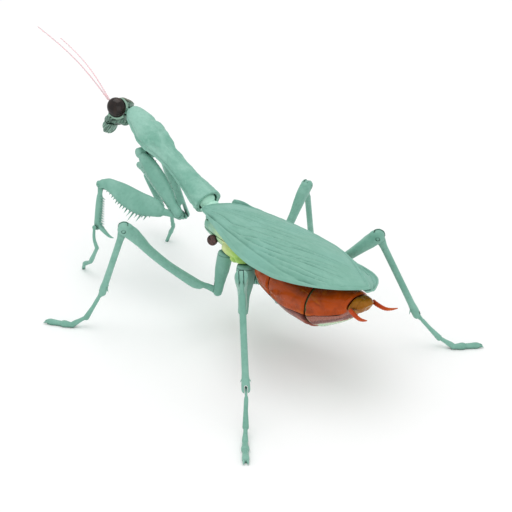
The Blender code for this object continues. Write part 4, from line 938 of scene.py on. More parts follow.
    path = [A + Vector(o) for o in FORE_TARSUS[side]]
    start = A + out * 2.0
    tarsus = make(name("tarsus_shell"), revolve(A + out * 1.62, out, [(0.0, 0.8), (0.08, 0.92), (0.3, 0.95), (0.55, 0.9), (0.7, 0.6), (0.74, 0.1)], 32, 0.15))
    join(tarsus, rod(A + out * 0.4, A + out * 1.9, 0.5, n=24))
    join(tarsus, tube([start, start + (path[0] - A) * 0.5, path[0]], [0.52, 0.62, 0.82], 22, hinge))
    joints = [path[0], path[1], path[2], path[3]]
    for i, (a, b) in enumerate(zip(joints, joints[1:])):
        u = (b - a).normalized()
        l = (b - a).length
        r0, r1 = ((0.7, 0.95), (0.75, 0.95), (0.75, 0.72))[i]
        join(tarsus, limb(a - u * 0.5, b + u * 0.1, hinge if abs(u.dot(hinge)) < 0.95 else X, [(0.0, 0.3, 0.3), (0.3, r0, r0), (l * 0.5, (r0 + r1) * 0.47, (r0 + r1) * 0.47),
                          (l * 0.85, r1, r1), (l + 0.45, r1 * 0.8, r1 * 0.8), (l + 0.65, r1 * 0.35, r1 * 0.35)], 24, 0.94, 0.3))
    cut(tarsus, block(Vector((path[3].x, path[3].y, -5.0)), X * 30.0, Y * 30.0, Z * 5.0))
    finish_piece(tarsus, name("tarsus"), teal, "teal_plastic", name("tarsus"))


for side in SIDES:
    foreleg(side)


# ================================================================ thorax
HIP = {"hind": (-6.3, 5.5, 31.5), "mid": (6.1, 5.5, 31.8)}
WAIST_REAR, WAIST_FRONT = joint_at("waist_pitch"), joint_at("waist_yaw")
NECK_REAR, NECK_FRONT = joint_at("neck_yaw"), joint_at("head_pitch")
ABDOMEN_BALL, ABDOMEN_HINGE = joint_at("abdomen_pitch"), joint_at("abdomen_rear_pitch")
SPLIT = 36.0
BALL_GAP = 0.35
THORAX = [(21.3, 4.5, 4.6, 1.2), (20.4, 5.1, 5.2, 2.0), (16.0, 6.0, 6.2, 3.6), (8.0, 6.8, 6.8, 5.3), (0.0, 6.9, 7.1, 6.0), (-6.0, 6.7, 6.8, 6.0), (-9.6, 5.6, 5.8, 4.6)]


def thorax_rows():
    rows = sorted([(-x, a, u, d) for x, a, u, d in THORAX])
    return [(-r[0], r[1], r[2], r[3]) for r in dense(rows, 0.4)]


def shell_half(sign):
    rings = []
    for x, a, u, d in thorax_rows():
        b = u if sign > 0 else d
        pts = []
        for j in range(41):
            t = math.pi * j / 40
            # three soft plates with shallow grooves between them, and a seam lip
            groove = sum(-0.16 * math.exp(-((x - g) / 0.45) ** 2) for g in (12.8, 4.6, -3.4)) * math.sin(t) ** 0.5
            lip = -0.14 * math.exp(-((math.sin(t) * b) / 0.35) ** 2)
            k = 1.0 + (groove + lip) / max(a, 1.0)
            pts.append(at(x, a * k * math.cos(t), SPLIT + sign * (0.15 + b * k * math.sin(t))))
        rings.append(pts)
    return loft(rings)


upper = make("thorax_upper_plates", shell_half(1.0))
lower = make("thorax_lower_plates", shell_half(-1.0))
for sign in SIDES.values():   # swollen flank over the two hips, in three soft lobes
    join(lower, limb(at(7.6, 5.0 * sign, 33.4), at(-7.8, 5.0 * sign, 33.0), Y,
                     [(0.0, 1.0, 0.9), (1.6, 2.6, 2.2), (5.0, 3.0, 2.7), (10.4, 3.0, 2.7), (13.8, 2.6, 2.2), (15.4, 1.0, 0.9)], 48, 1.0, 0.4))
    for cx, cz, rx, rz, ry in ((3.6, 33.2, 3.4, 2.5, 2.7), (-0.6, 31.6, 2.0, 2.1, 3.0), (-4.6, 32.2, 3.2, 2.2, 3.3)):
        join(lower, ellipsoid(at(cx, 5.3 * sign, cz), X * rx, Z * rz, Y * ry, 40, 24))
waist_dir = (WAIST_FRONT - WAIST_REAR).normalized()
for ob in (upper, lower):
    if ob is upper:
        cut(ob, ball(WAIST_REAR, 2.0 + BALL_GAP, waist_dir))
        cut(ob, rod(WAIST_REAR + waist_dir * 0.6, WAIST_REAR + waist_dir * 6.0, 2.05, 3.6))
    cut(ob, ball(ABDOMEN_BALL, 2.2 + BALL_GAP, X))
    cut(ob, rod(ABDOMEN_BALL - X * 0.4, ABDOMEN_BALL - X * 5.0, 2.1, 3.6))
WING_HINGE = {s: joint_at("wing_%s_hinge" % s) for s in SIDES}
for side, H in WING_HINGE.items():
    cut(upper, ball(H, 1.0 + BALL_GAP, Z))
    cut(upper, block(H + Vector((1.2, 0.0, 3.0)), X * 2.5, Y * 1.25, Z * 3.0))
for kind in HIP:
    for side in SIDES:
        H = joint_at("%s_coxa_%s_joint" % (kind, side))
        T = joint_at("%s_femur_%s_joint" % (kind, side))
        axis = (T - H).normalized()
        cut(lower, rod(H + axis * 0.05, H + axis * 9.0, HIP_RADIUS[kind] + 0.4, n=48))
        cut(lower, rod(H - axis * 2.7, H + axis * 1.0, 1.45, n=36))
for side, sign in SIDES.items():
    C = at(12.6, 6.9 * sign, 33.9)
    out = Vector((-0.34, 0.9 * sign, 0.16)).normalized()
    peg = make("thorax_peg_head_" + side, revolve(C, out, [
        (-2.6, 0.05), (-2.55, 1.0), (-2.4, 1.1), (-0.6, 1.1), (-0.55, 1.85), (-0.3, 2.0), (0.4, 2.1), (0.9, 1.95), (1.12, 1.62), (1.13, 1.34), (0.86, 1.27),
        (0.80, 1.1), (0.92, 0.55), (1.0, 0.05)], 48, 0.12))
    finish_piece(peg, "thorax", brown, "brown_plastic", "thorax_peg_" + side)
    cut(lower, rod(C - out * 2.95, C + out * 2.0, 1.4, n=36))
    cut(lower, rod(C - out * 0.9, C + out * 3.0, 2.45, n=48))
finish_piece(upper, "thorax", thorax_mat, "lime_plastic", "thorax_upper_shell")
finish_piece(lower, "thorax", thorax_mat, "lime_plastic", "thorax_lower_shell")

# ================================================================ waist link
d = waist_dir
dist = (WAIST_FRONT - WAIST_REAR).length
up_waist = d.cross(Y).normalized()
if up_waist.z < 0:
    up_waist = -up_waist
rows = [(-2.0, 0.3, 0.3)] + [(x, r, r) for x, r in ball_rows(2.0, -0.85, 0.6, 7)]
rows += [(2.2, 1.55, 1.55), (dist - 6.7, 1.6, 1.6), (dist - 6.4, 2.2, 2.0), (dist - 5.4, 3.1, 2.35), (dist - 4.3, 3.35, 2.45), (dist - 3.7, 2.4, 2.2)]
rows += [(dist + x, r, r) for x, r in ball_rows(3.7, -0.72, 0.85, 9)] + [(dist + 3.7, 0.5, 0.5)]
waist = make("waist_link_body", loft([ring(WAIST_REAR + d * x, Y, up_waist, w, h, 48) for x, w, h in dense(rows, 0.2)]))
join(waist, loft([ring(WAIST_REAR + d * x - up_waist * 0.95, Y, up_waist, w, w * 0.38, 48) for x, w in
                  dense([(dist - 6.2, 2.2), (dist - 5.4, 3.3), (dist - 4.7, 3.9), (dist - 3.9, 4.25), (dist - 3.55, 4.15), (dist - 3.42, 3.2)], 0.2)]))
finish_piece(waist, "waist_link", mint, "mint_joint_plastic", "waist_ball")

# ================================================================ prothorax
a_hat = Vector((0.915, 0.0, 0.403)).normalized()
n_hat = a_hat.cross(Y).normalized()
if n_hat.z < 0:
    n_hat = -n_hat
PRO_REAR, PRO_LENGTH, FLANGE = at(24.9, 0.0, 43.3), 55.4, -0.42
PRO = [(0.0, 5.7, 4.75, 0.0), (1.2, 5.75, 4.8, 0.0), (6.0, 5.1, 4.5, -0.25), (12.0, 4.3, 4.1, -0.5), (24.0, 3.65, 3.8, -0.8), (32.0, 4.7, 4.3, -1.1),
       (37.0, 6.1, 4.9, -1.2), (40.5, 6.4, 5.0, -1.3), (44.5, 5.5, 4.7, -1.3), (49.5, 4.6, 4.1, -1.2), (53.0, 4.0, 3.4, -1.1), (PRO_LENGTH, 2.9, 2.4, -1.0)]
STERNUM = [(0.0, 0.86, 1.02), (6.0, 0.84, 1.02), (14.0, 0.74, 0.95), (30.0, 0.62, 0.82), (PRO_LENGTH, 0.62, 0.82)]


def bell(x, c, w):
    return math.exp(-((x - c) / w) ** 2)


def pronotum_relief(s, t, p):
    """Height added to the shell: cross groove, median ridge, sculpted swellings and thick rims."""
    start = math.asin(FLANGE)
    side = t - math.pi / 2            # 0 on the back, negative towards the creature's left
    h = 0.0
    h -= 0.42 * bell(s, 38.6 - 1.6 * math.cos(2 * side), 0.85) * math.cos(min(abs(side), 1.5)) ** 0.6
    h -= 0.30 * bell(s, 44.6, 0.8) * math.cos(min(abs(side), 1.5))
    h += 0.34 * bell(side, 0.0, 0.11) * (0.45 + 0.55 * bell(s, 24.0, 16.0))
    for c, off, amp in ((35.2, 0.50, 0.75), (31.8, 0.80, 0.60), (28.5, 0.42, 0.55), (24.5, 0.70, 0.48), (20.5, 0.36, 0.40), (16.0, 0.60, 0.30), (11.5, 0.35, 0.24)):
        h += amp * bell(s, c, 2.1) * (bell(abs(side), off, 0.2))
    h += 0.50 * bell(s, 41.6, 1.5) * bell(abs(side), 0.55, 0.30) + 0.55 * bell(s, 47.5, 1.9) * bell(abs(side), 0.50, 0.32) + 0.35 * bell(s, 51.5, 1.3) * bell(abs(side), 0.25, 0.3)
    h -= 0.40 * bell(s, 33.0, 5.5) * bell(abs(side), 1.12, 0.22)
    rim = min(t - start, math.pi - start - t)
    h += 0.42 * bell(rim, 0.0, 0.085) - 0.38 * bell(rim, 0.24, 0.11)
    h += 0.14 * bell(s, 0.5, 0.7) - 0.12 * bell(s, 2.3, 0.9)
    h += 0.24 * noise.noise(p * 0.32) + 0.10 * noise.noise(p * 0.9)
    edge = min(max(s / 1.0, 0.0), 1.0) * min(max((PRO_LENGTH - s) / 3.0, 0.0), 1.0)
    return h * (0.25 + 0.75 * edge)


def pro_rings(lower_part, step=0.35):
    rings = []
    for s, a, b, rise in dense(PRO, step):
        c = PRO_REAR + a_hat * s + n_hat * rise
        pts = []
        if lower_part:
            w = pchip([r[0] for r in STERNUM], [r[1] for r in STERNUM], s)
            depth = pchip([r[0] for r in STERNUM], [r[2] for r in STERNUM], s)
            for j in range(41):
                t = math.pi * j / 40
                k = 1.0 - 0.05 * math.exp(-(((s % 6.5) - 3.2) / 0.35) ** 2) * math.sin(t)
                pts.append(c + Y * (a * w * k * math.cos(t)) + n_hat * (FLANGE * b - GAP - (depth + FLANGE) * b * k * math.sin(t)))
        else:
            start = math.asin(FLANGE)
            for j in range(97):
                t = start + (math.pi - 2 * start) * j / 96
                out = (Y * (b * math.cos(t)) + n_hat * (a * math.sin(t))).normalized()
                base = c + Y * (a * math.cos(t)) + n_hat * (b * math.sin(t))
                pts.append(base + out * pronotum_relief(s, t, base))
        rings.append(pts)
    return rings


pronotum = make("pronotum_sculpted", loft(pro_rings(False)))
prosternum = make("prosternum_sculpted", loft(pro_rings(True)))
neck_dir = (NECK_FRONT - NECK_REAR).normalized()
for ob in (pronotum, prosternum):
    cut(ob, ball(WAIST_FRONT, 3.7 + BALL_GAP, a_hat))
    cut(ob, rod(WAIST_FRONT - a_hat * 0.2, WAIST_FRONT - a_hat * 4.0, 4.02, 4.1, 48))
    cut(ob, ball(NECK_REAR, 1.5 + BALL_GAP, a_hat))
    cut(ob, rod(NECK_REAR + a_hat * 0.2, NECK_REAR + a_hat * 6.0, 1.8, 3.4))
SH = [joint_at("fore_coxa_%s_joint" % s) for s in SIDES]
shoulder = (SH[0] + SH[1]) / 2.0
join(prosternum, limb(shoulder + Vector((-0.6, 0, 2.8)), shoulder + Vector((0, 0, -2.6)), Y,
                      [(0.0, 2.2, 3.2), (1.5, 2.8, 3.4), (4.6, 2.8, 2.5), (5.6, 1.8, 1.6)], 40, 0.9, 0.4))
cut(prosternum, rod(shoulder - Y * 6.0, shoulder + Y * 6.0, 1.42, n=40))
for S in SH:
    side_y = Y * (1.0 if S.y > MID.y else -1.0)
    for ob in (pronotum, prosternum):
        cut(ob, rod(S - side_y * 2.35, S + side_y * 4.0, 3.05, n=48))
finish_piece(pronotum, "prothorax", teal_pro, "teal_plastic", "pronotum_shell", angle=50.0)
finish_piece(prosternum, "prothorax", teal, "teal_plastic", "prosternum_shell")

# ================================================================ neck and head
dn = (NECK_FRONT - NECK_REAR).length
rows = [(-1.5, 0.3)] + ball_rows(1.5, -0.85, 0.7, 7) + [(dn / 2, 0.85)] + [(dn + x, r) for x, r in ball_rows(1.5, -0.7, 0.85, 7)] + [(dn + 1.5, 0.3)]
neck = make("neck_link_body", revolve(NECK_REAR, neck_dir, rows, 40, 0.15))
finish_piece(neck, "neck", mint, "mint_joint_plastic", "neck_ball")

HEAD_F = Vector((0.723, 0.687, -0.079)).normalized()
HEAD_U = Vector((0.362, -0.278, 0.890)).normalized()
HEAD_L = HEAD_U.cross(HEAD_F).normalized()
HEAD_U = HEAD_F.cross(HEAD_L).normalized()


def head_at(p, q, w=0.0):
    return NECK_FRONT + HEAD_F * p + HEAD_U * q + HEAD_L * w


def closed_curve(points, per=5):
    n = len(points)
    out = []
    for i in range(n):
        p0, p1, p2, p3 = [Vector((*points[(i + k) % n], 0.0)) for k in (-1, 0, 1, 2)]
        for j in range(per):
            t = j / per
            v = 0.5 * ((2 * p1) + (p2 - p0) * t + (2 * p0 - 5 * p1 + 4 * p2 - p3) * t * t + (3 * p1 - p0 - 3 * p2 + p3) * t ** 3)
            out.append((v.x, v.y))
    return out


HEAD_OUTLINE = [(-3.4, 2.3), (-1.9, 3.35), (0.2, 4.2), (2.6, 4.45), (4.7, 4.0), (5.9, 2.9), (6.4, 0.8), (6.9, -2.2), (8.1, -4.2),
                (6.6, -5.6), (3.6, -5.4), (1.4, -5.0), (0.0, -3.9), (-0.3, -1.6), (-0.9, 0.2), (-2.1, 1.4)]
HEAD_WIDTH = dense([(-5.4, 0.30), (-5.1, 0.50), (-4.4, 0.74), (-3.0, 0.90), (0.0, 1.0), (3.0, 0.90), (4.4, 0.74), (5.1, 0.50), (5.4, 0.30)], 0.3)
hm = (3.0, 0.2)
outline = closed_curve(HEAD_OUTLINE)
head = make("head_capsule", loft([[head_at(hm[0] + (p - hm[0]) * k, hm[1] + (q - hm[1]) * k, w) for p, q in outline] for w, k in HEAD_WIDTH]))


def ell(p, q, w, rp, rq, rw, turn=0.0, n=32, steps=20):
    c, s = math.cos(turn), math.sin(turn)
    e1 = (HEAD_F * c + HEAD_U * s) * rp
    e2 = (HEAD_U * c - HEAD_F * s) * rq
    return ellipsoid(head_at(p, q, w), e1, e2, HEAD_L * rw, n, steps)


def head_tube(points, radii, n=16):
    return tube([head_at(*p) for p in points], radii, n, HEAD_L, 5)


tilt = math.radians(-38.0)
e_long = (HEAD_U * math.cos(tilt) - HEAD_F * math.sin(tilt)).normalized()
e_short = e_long.cross(HEAD_L).normalized()
EYE = (3.78, 4.14, 2.6)
for sign in (1.0, -1.0):
    join(head, ell(1.1, -4.3, 2.9 * sign, 2.2, 1.75, 1.9, 0.15))                 # cheek bulge
    join(head, ell(3.6, -4.7, 2.9 * sign, 1.6, 1.05, 1.5, 0.0))
    join(head, ell(5.6, -3.6, 2.6 * sign, 2.2, 1.25, 1.6, -0.75))                # plate below the eye
    join(head, ell(7.2, -3.6, 1.3 * sign, 1.2, 1.6, 1.1, 0.35))                  # side of the face shield
    join(head, ell(6.1, 3.3, 1.15 * sign, 0.75, 0.75, 0.65))                     # antenna socket
    join(head, head_tube([(-3.1, 2.6, 0.9 * sign), (-1.3, 3.75, 1.3 * sign), (1.2, 4.5, 1.5 * sign), (4.0, 4.2, 1.4 * sign)], [0.30, 0.48, 0.46, 0.25]))
    join(head, head_tube([(-2.9, 2.5, 2.2 * sign), (-1.6, 3.6, 2.6 * sign), (0.0, 4.4, 2.7 * sign), (1.5, 4.6, 2.5 * sign)], [0.28, 0.46, 0.42, 0.2]))
    join(head, head_tube([(-1.6, 0.9, 3.6 * sign), (-1.9, 2.2, 3.4 * sign), (-1.2, 3.2, 3.5 * sign)], [0.3, 0.42, 0.2]))
join(head, ell(5.4, 3.9, 0.0, 0.5, 0.5, 0.5))
join(head, ell(5.0, 4.2, 0.75, 0.42, 0.42, 0.42))
join(head, ell(5.0, 4.2, -0.75, 0.42, 0.42, 0.42))
for sign in (1.0, -1.0):   # grooves under the eye, across the cheek and between the head plates
    cut(head, head_tube([(-1.4, -2.6, 5.0 * sign), (0.2, -2.9, 4.95 * sign), (2.0, -3.4, 4.8 * sign), (3.6, -4.0, 4.4 * sign), (4.8, -5.0, 3.9 * sign)], [0.45, 0.55, 0.52, 0.46, 0.3]))
    cut(head, head_tube([(4.4, -3.3, 4.9 * sign), (5.6, -3.0, 4.3 * sign), (6.7, -2.4, 3.4 * sign), (7.2, -1.4, 2.4 * sign)], [0.3, 0.36, 0.34, 0.2]))
    cut(head, head_tube([(5.6, -5.4, 3.9 * sign), (6.6, -4.5, 3.3 * sign), (7.7, -3.6, 2.6 * sign), (8.2, -2.8, 2.0 * sign)], [0.3, 0.36, 0.30, 0.2]))
melt(head, 0.12, 3)
for sign, side in ((1.0, "left"), (-1.0, "right")):
    C = head_at(2.5, 0.7, 4.6 * sign)
    # raised band round the back and the underside of the eye
    loop = []
    for j in range(25):
        a = math.radians(112.0 + 200.0 * j / 24.0)
        grow = 0.10 + 0.42 * math.sin(math.pi * j / 24.0) ** 0.5
        toward = HEAD_F * math.cos(a) + HEAD_U * math.sin(a)
        ux, uy = toward.dot(e_short), toward.dot(e_long)
        k = 1.0 / math.sqrt((ux / (EYE[0] + grow)) ** 2 + (uy / (EYE[1] + grow)) ** 2)
        loop.append(C + HEAD_L * (0.10 * sign) + toward * k)
    radii = [0.16 + 0.46 * math.sin(math.pi * j / 24.0) ** 0.6 for j in range(25)]
    join(head, tube(loop, radii, 20, HEAD_L, 2))
    cut(head, ellipsoid(C, e_short * (EYE[0] + 0.16), e_long * (EYE[1] + 0.16), HEAD_L * (EYE[2] + 0.25), 48, 32))
    eye = make("compound_eye_" + side, ellipsoid(C, e_short * EYE[0], e_long * EYE[1], HEAD_L * EYE[2], 64, 48))
    finish_piece(eye, "head", eye_mat, "eye_gloss", "eye_" + side)
cut(head, ball(NECK_FRONT, 1.5 + BALL_GAP, neck_dir))
cut(head, rod(NECK_FRONT - neck_dir * 0.2, NECK_FRONT - neck_dir * 5.0, 1.8, 4.2))
finish_piece(head, "head", head_mat, "head_plastic", "head_shell", angle=48.0)

MOUTH = [(8.3, -3.9), (9.2, -5.6), (9.35, -7.0), (8.7, -8.3), (7.6, -9.0), (6.2, -8.6), (4.9, -7.6), (3.6, -6.3), (4.2, -5.35), (6.4, -5.2)]
mouth_outline = closed_curve(MOUTH)
MOUTH_WIDTH = dense([(-2.45, 0.45), (-2.2, 0.68), (-1.5, 0.90), (0.0, 1.0), (1.5, 0.90), (2.2, 0.68), (2.45, 0.45)], 0.25)
mm = (7.0, -6.6)
mouth = make("mouth_cone", loft([[head_at(mm[0] + (p - mm[0]) * k, mm[1] + (q - mm[1]) * k, w) for p, q in mouth_outline] for w, k in MOUTH_WIDTH]))
join(mouth, ell(8.4, -6.2, 0.0, 1.2, 1.5, 1.9, 0.2))
join(mouth, ell(8.5, -7.7, 0.0, 0.85, 1.2, 1.2, 0.1))
for sign in (1.0, -1.0):
    join(mouth, ell(7.5, -7.9, 1.35 * sign, 1.5, 0.95, 0.9, 0.75))               # mandible
    join(mouth, ell(5.0, -6.7, 1.6 * sign, 1.5, 0.75, 0.85, -0.7))               # cheek lobe
    join(mouth, ell(7.9, -5.6, 1.9 * sign, 1.1, 0.9, 0.7, 0.2))
    join(mouth, head_tube([(4.4, -6.2, 2.3 * sign), (5.3, -7.5, 2.5 * sign), (6.6, -8.6, 2.1 * sign), (7.8, -9.0, 1.4 * sign)], [0.42, 0.44, 0.40, 0.2]))
    join(mouth, head_tube([(6.0, -5.9, 2.4 * sign), (7.2, -6.7, 2.6 * sign), (8.3, -7.8, 2.0 * sign), (8.8, -8.6, 1.1 * sign)], [0.42, 0.40, 0.36, 0.18]))
    cut(mouth, head_tube([(4.2, -6.6, 1.6 * sign), (5.9, -7.2, 2.75 * sign), (7.4, -7.9, 2.5 * sign), (8.9, -8.5, 1.5 * sign)], [0.18, 0.28, 0.26, 0.16]))
    cut(mouth, head_tube([(6.8, -5.4, 2.9 * sign), (8.0, -6.3, 2.6 * sign), (9.0, -7.0, 1.8 * sign), (9.5, -7.4, 1.0 * sign)], [0.16, 0.24, 0.22, 0.14]))
cut(mouth, head_tube([(9.8, -6.4, 0.0), (9.5, -7.8, 0.0), (8.4, -9.4, 0.0)], [0.12, 0.24, 0.34]))
melt(mouth, 0.10, 2)
finish_piece(mouth, "head", mouth_mat, "head_plastic", "mouthparts", angle=48.0)

for side, sign in SIDES.items():
    base, tip = head_at(7.0, 4.3, 1.0 * sign), head_at(32.0, 32.2, 14.4 * sign)
    bow = (HEAD_U - HEAD_F) * 1.2
    path = [base + (tip - base) * t + bow * math.sin(math.pi * t) for t in (0.0, 0.2, 0.4, 0.6, 0.8, 1.0)]
    antenna = make("antenna_bristle_" + side, tube(path, [0.34, 0.28, 0.26, 0.24, 0.22, 0.2], 14, Z, 44, 1.0, lambda u: 1.0 + 0.14 * math.sin(u * 2 * math.pi * 44) ** 2))
    curve = smooth_path(path, 10)
    barbs = []
    for i in range(2, len(curve) - 1):
        dd, s, m = frame_of(curve[i + 1] - curve[i - 1], Z)
        a = i * 2.4
        o = s * math.cos(a) + m * math.sin(a)
        barbs.append(cone(curve[i] + o * 0.1, curve[i] + o * 0.62 + dd * 0.5, 0.07, 6))
    join(antenna, merge(barbs))
    finish_piece(antenna, "head", bristle, "bristle", "antenna_" + side)

# ================================================================ abdomen
ABDOMEN = [(-11.9, 31.6, 6.0, 5.5), (-14.0, 31.2, 7.2, 6.5), (-24.0, 30.5, 9.3, 8.3), (-34.0, 29.9, 10.0, 9.3), (-44.0, 29.9, 9.9, 9.3),
           (-50.0, 32.0, 9.0, 8.1), (-56.0, 34.3, 7.5, 6.6), (-62.4, 36.9, 5.0, 4.2)]
SPLIT = [(-12.0, -0.55), (-24.0, -0.52), (-34.0, -0.36), (-44.0, -0.20), (-50.0, -0.24), (-62.0, -0.42)]
AX = [-r[0] for r in ABDOMEN]


def section(x):
    return tuple(pchip(AX, [r[c] for r in ABDOMEN], -x) for c in (1, 2, 3))


def spread(x0, x1, step=0.35):
    k = max(4, int(math.ceil(abs(x1 - x0) / step)))
    return [x0 + (x1 - x0) * i / k for i in range(k + 1)]


def tergite(x0, x1, lean=None):
    """Overlapping back plate: swollen between its ends, with a thick lower rim and a rounded hind edge."""
    rings = []
    for x in spread(x0, x1):
        start = math.asin(pchip([-r[0] for r in SPLIT], [r[1] for r in SPLIT], -x))
        z, a, b = section(x)
        u = (x - x0) / (x1 - x0)
        tilt = pchip([p[0] for p in lean], [p[1] for p in lean], u) if lean else 0.0
        pts = []
        for j in range(81):
            t = start + (math.pi - 2 * start) * j / 80
            z, a, b = section(x - tilt * math.sin(t))
            rim = min(t - start, math.pi - start - t)
            h = 0.22 * math.sin(math.pi * u) ** 0.6 - 0.22
            h += -0.25 * math.exp(-(u * abs(x1 - x0) / 0.35) ** 2) - 0.30 * math.exp(-((1 - u) * abs(x1 - x0) / 0.45) ** 2)
            h += 0.10 * bell((1 - u) * abs(x1 - x0), 1.1, 0.5)
            h += 0.20 * bell(rim, 0.06, 0.06) - 0.20 * bell(rim, 0.26, 0.10)
            p = at(x, a * math.cos(t), z + b * math.sin(t))
            h += 0.09 * noise.noise(p * 0.35)
            out = (Y * (math.cos(t) / a) + Z * (math.sin(t) / b)).normalized()
            pts.append(p + out * h - X * (tilt * math.sin(t)))
        rings.append(pts)
    return loft(rings)


def sternite(x0, x1, lean=None):
    rings = []
    for x in spread(x0, x1):
        start = math.asin(pchip([-r[0] for r in SPLIT], [r[1] for r in SPLIT], -x))
        z, a, b = section(x)
        u = (x - x0) / (x1 - x0)
        tilt = pchip([p[0] for p in lean], [p[1] for p in lean], u) if lean else 0.0
        pts = []
        for j in range(61):
            t = math.pi - start + (math.pi + 2 * start) * j / 60
            z, a, b = section(x - tilt * math.sin(t))
            v = abs(math.cos(t)) / math.cos(start)
            h = -0.25 * math.exp(-(u * abs(x1 - x0) / 0.35) ** 2) - 0.25 * math.exp(-((1 - u) * abs(x1 - x0) / 0.4) ** 2)
            h += 0.14 * bell(v, 0.78, 0.06) - 0.18 * bell(v, 0.62, 0.06) - 0.12 * bell(v, 0.0, 0.04) - 0.06
            out = (Y * (math.cos(t) / a) + Z * (math.sin(t) / b)).normalized()
            pts.append(at(x, a * math.cos(t), z + b * math.sin(t) - GAP - 0.02) + out * h - X * (tilt * math.sin(t)))
        rings.append(pts)
    return loft(rings)


front = make("abdomen_front_plate", tergite(-12.1, -23.6))
join(front, revolve(ABDOMEN_BALL, Vector((-1.0, 0.0, -0.35)), [(-2.2, 0.4)] + ball_rows(2.2, -0.85, 0.75, 9) + [(2.3, 1.5), (3.6, 1.5), (7.5, 2.2)], 40, 0.25))
finish_piece(front, "abdomen", amber, "amber_plastic", "abdomen_front")
finish_piece(make("abdomen_middle_plate", tergite(-23.95, -44.4)), "abdomen", amber, "amber_plastic", "abdomen_middle")
finish_piece(make("belly_front_plate", sternite(-14.0, -23.6)), "abdomen", maroon, "maroon_plastic", "sternite_front")
finish_piece(make("belly_middle_plate", sternite(-23.95, -44.0)), "abdomen", maroon, "maroon_plastic", "sternite_middle")

z, a, b = section(-44.6)
hub_rows = [(-44.3, 0.86), (-44.4, 0.89), (-44.55, 0.90), (-44.75, 0.89), (-44.9, 0.84), (-45.0, 0.5), (-45.02, 0.15)]
hub = make("abdomen_hub_plate", loft([ring(at(x, 0.0, z), Y, Z, a * k, b * k, 64) for x, k in hub_rows]))
join(hub, ball(ABDOMEN_HINGE, 2.6, X))
finish_piece(hub, "abdomen", green, "green_joint_plastic", "abdomen_joint")
rear = make("abdomen_rear_plate", tergite(-45.35, -61.4, [(0.0, 0.0), (0.28, 0.3), (0.47, 0.6), (0.72, 0.9), (1.0, 1.0)]))
belly = make("belly_rear_plate", sternite(-44.75, -60.0, [(0.0, -3.4), (0.30, -2.0), (0.57, -0.5), (0.82, 0.5), (1.0, 1.0)]))
for ob in (rear, belly):
    cut(ob, ball(ABDOMEN_HINGE, 2.6 + BALL_GAP, X))
    cut(ob, rod(ABDOMEN_HINGE + X * 0.2, ABDOMEN_HINGE + X * 4.0, 2.9, 4.4))
finish_piece(rear, "abdomen_end", amber, "amber_plastic", "abdomen_rear")
finish_piece(belly, "abdomen_end", belly_mat, "belly_plastic", "sternite_rear")

TIP = [(62.2, 36.9, 4.4, 3.6), (62.5, 37.0, 4.42, 3.62), (64.4, 37.6, 3.9, 3.3), (66.2, 38.1, 3.1, 2.7), (67.3, 38.4, 2.0, 1.6), (67.6, 38.45, 1.1, 0.8)]
rings = []
for x, zc, aa, bb in dense(TIP, 0.25):
    pts = []
    for j in range(56):
        t = 2 * math.pi * j / 56
        k = 1.0 - 0.05 * bell(math.cos(t), 0.0, 0.10) + 0.03 * math.cos(6 * t) - 0.05 * bell(x, 64.9, 0.25) * 1.0
        pts.append(at(-x - 0.8 * math.sin(t), aa * k * math.cos(t), zc + bb * k * math.sin(t)))
    rings.append(pts)
tip = make("abdomen_tip_plate", loft(rings))
finish_piece(tip, "abdomen_end", olive, "olive_plastic", "abdomen_tip")
for side, sign in SIDES.items():
    base = at(-63.9, 5.15 * sign, 37.1)
    path = [base + Vector(o) for o in ((0.0, 0.0, 0.0), (-2.5, 0.3 * sign, -0.6), (-5.5, 0.7 * sign, -0.7), (-8.0, 1.1 * sign, 0.1), (-10.2, 1.7 * sign, 1.2))]
    cercus = make("cercus_ringed_" + side, tube(path, [0.8, 0.78, 0.66, 0.46, 0.2], 24, Y, 16, 1.0, lambda u: 1.0 - 0.10 * abs(math.sin(u * math.pi * 12)) ** 6))
    finish_piece(cercus, "abdomen_end", cercus_mat, "amber_plastic", "cercus_" + side)

# ================================================================ wings
import numpy as np
LATERAL = [(22.3, 5.2), (20.5, 5.9), (17.0, 7.0), (13.0, 8.6), (8.0, 10.2), (3.0, 11.8), (-5.0, 13.9), (-14.0, 15.8), (-24.0, 16.9),
           (-34.0, 16.6), (-43.0, 14.8), (-51.0, 12.0), (-58.0, 8.6), (-63.0, 5.4), (-66.3, 2.8), (-68.2, 1.1)]
INNER = {22.3: 4.5, 20.5: 2.3, 17.0: -2.2, 13.0: -6.0, 8.0: -7.8, 3.0: -9.0, -5.0: -10.8, -14.0: -12.0, -24.0: -12.8, -34.0: -12.8,
         -43.0: -11.2, -51.0: -8.2, -58.0: -5.0, -63.0: -2.6, -66.3: -1.0, -68.2: 0.1}
RIGHT_INNER = {17.0: 3.6, 13.0: 2.7, 8.0: 2.0, 3.0: 1.0, -5.0: 0.0, -14.0: -1.0}
RIGHT_WIDER = {3.0: 0.0, -5.0: 0.2, -14.0: 0.2, -24.0: 0.2, -34.0: 1.2, -43.0: 2.6, -51.0: 3.4, -58.0: 3.7, -63.0: 2.8, -66.3: 1.5, -68.2: 0.7}
LIFT = {17.0: 3.3, 13.0: 3.7, 8.0: 2.9, 3.0: 1.4, -5.0: 0.3}
LIFT_EDGE = {17.0: 4.6, 13.0: 6.7, 8.0: 8.5, 3.0: 9.8, -5.0: 11.6}
THICK = 0.75


def ridge(x):
    if x > 0:
        return 46.6 - 2.4 * (x / 22.0) ** 1.6
    return 46.6 + 0.5 * math.sin(math.pi * min(-x, 60.0) / 60.0) - 0.5 * max((-x - 40.0) / 29.0, 0.0) ** 1.5


def wing_height(x, y, width):
    return ridge(x) - 5.6 * min(width / 17.0, 1.0) ** 1.3 * min(abs(y) / max(width, 1.0), 1.12) ** 3.0


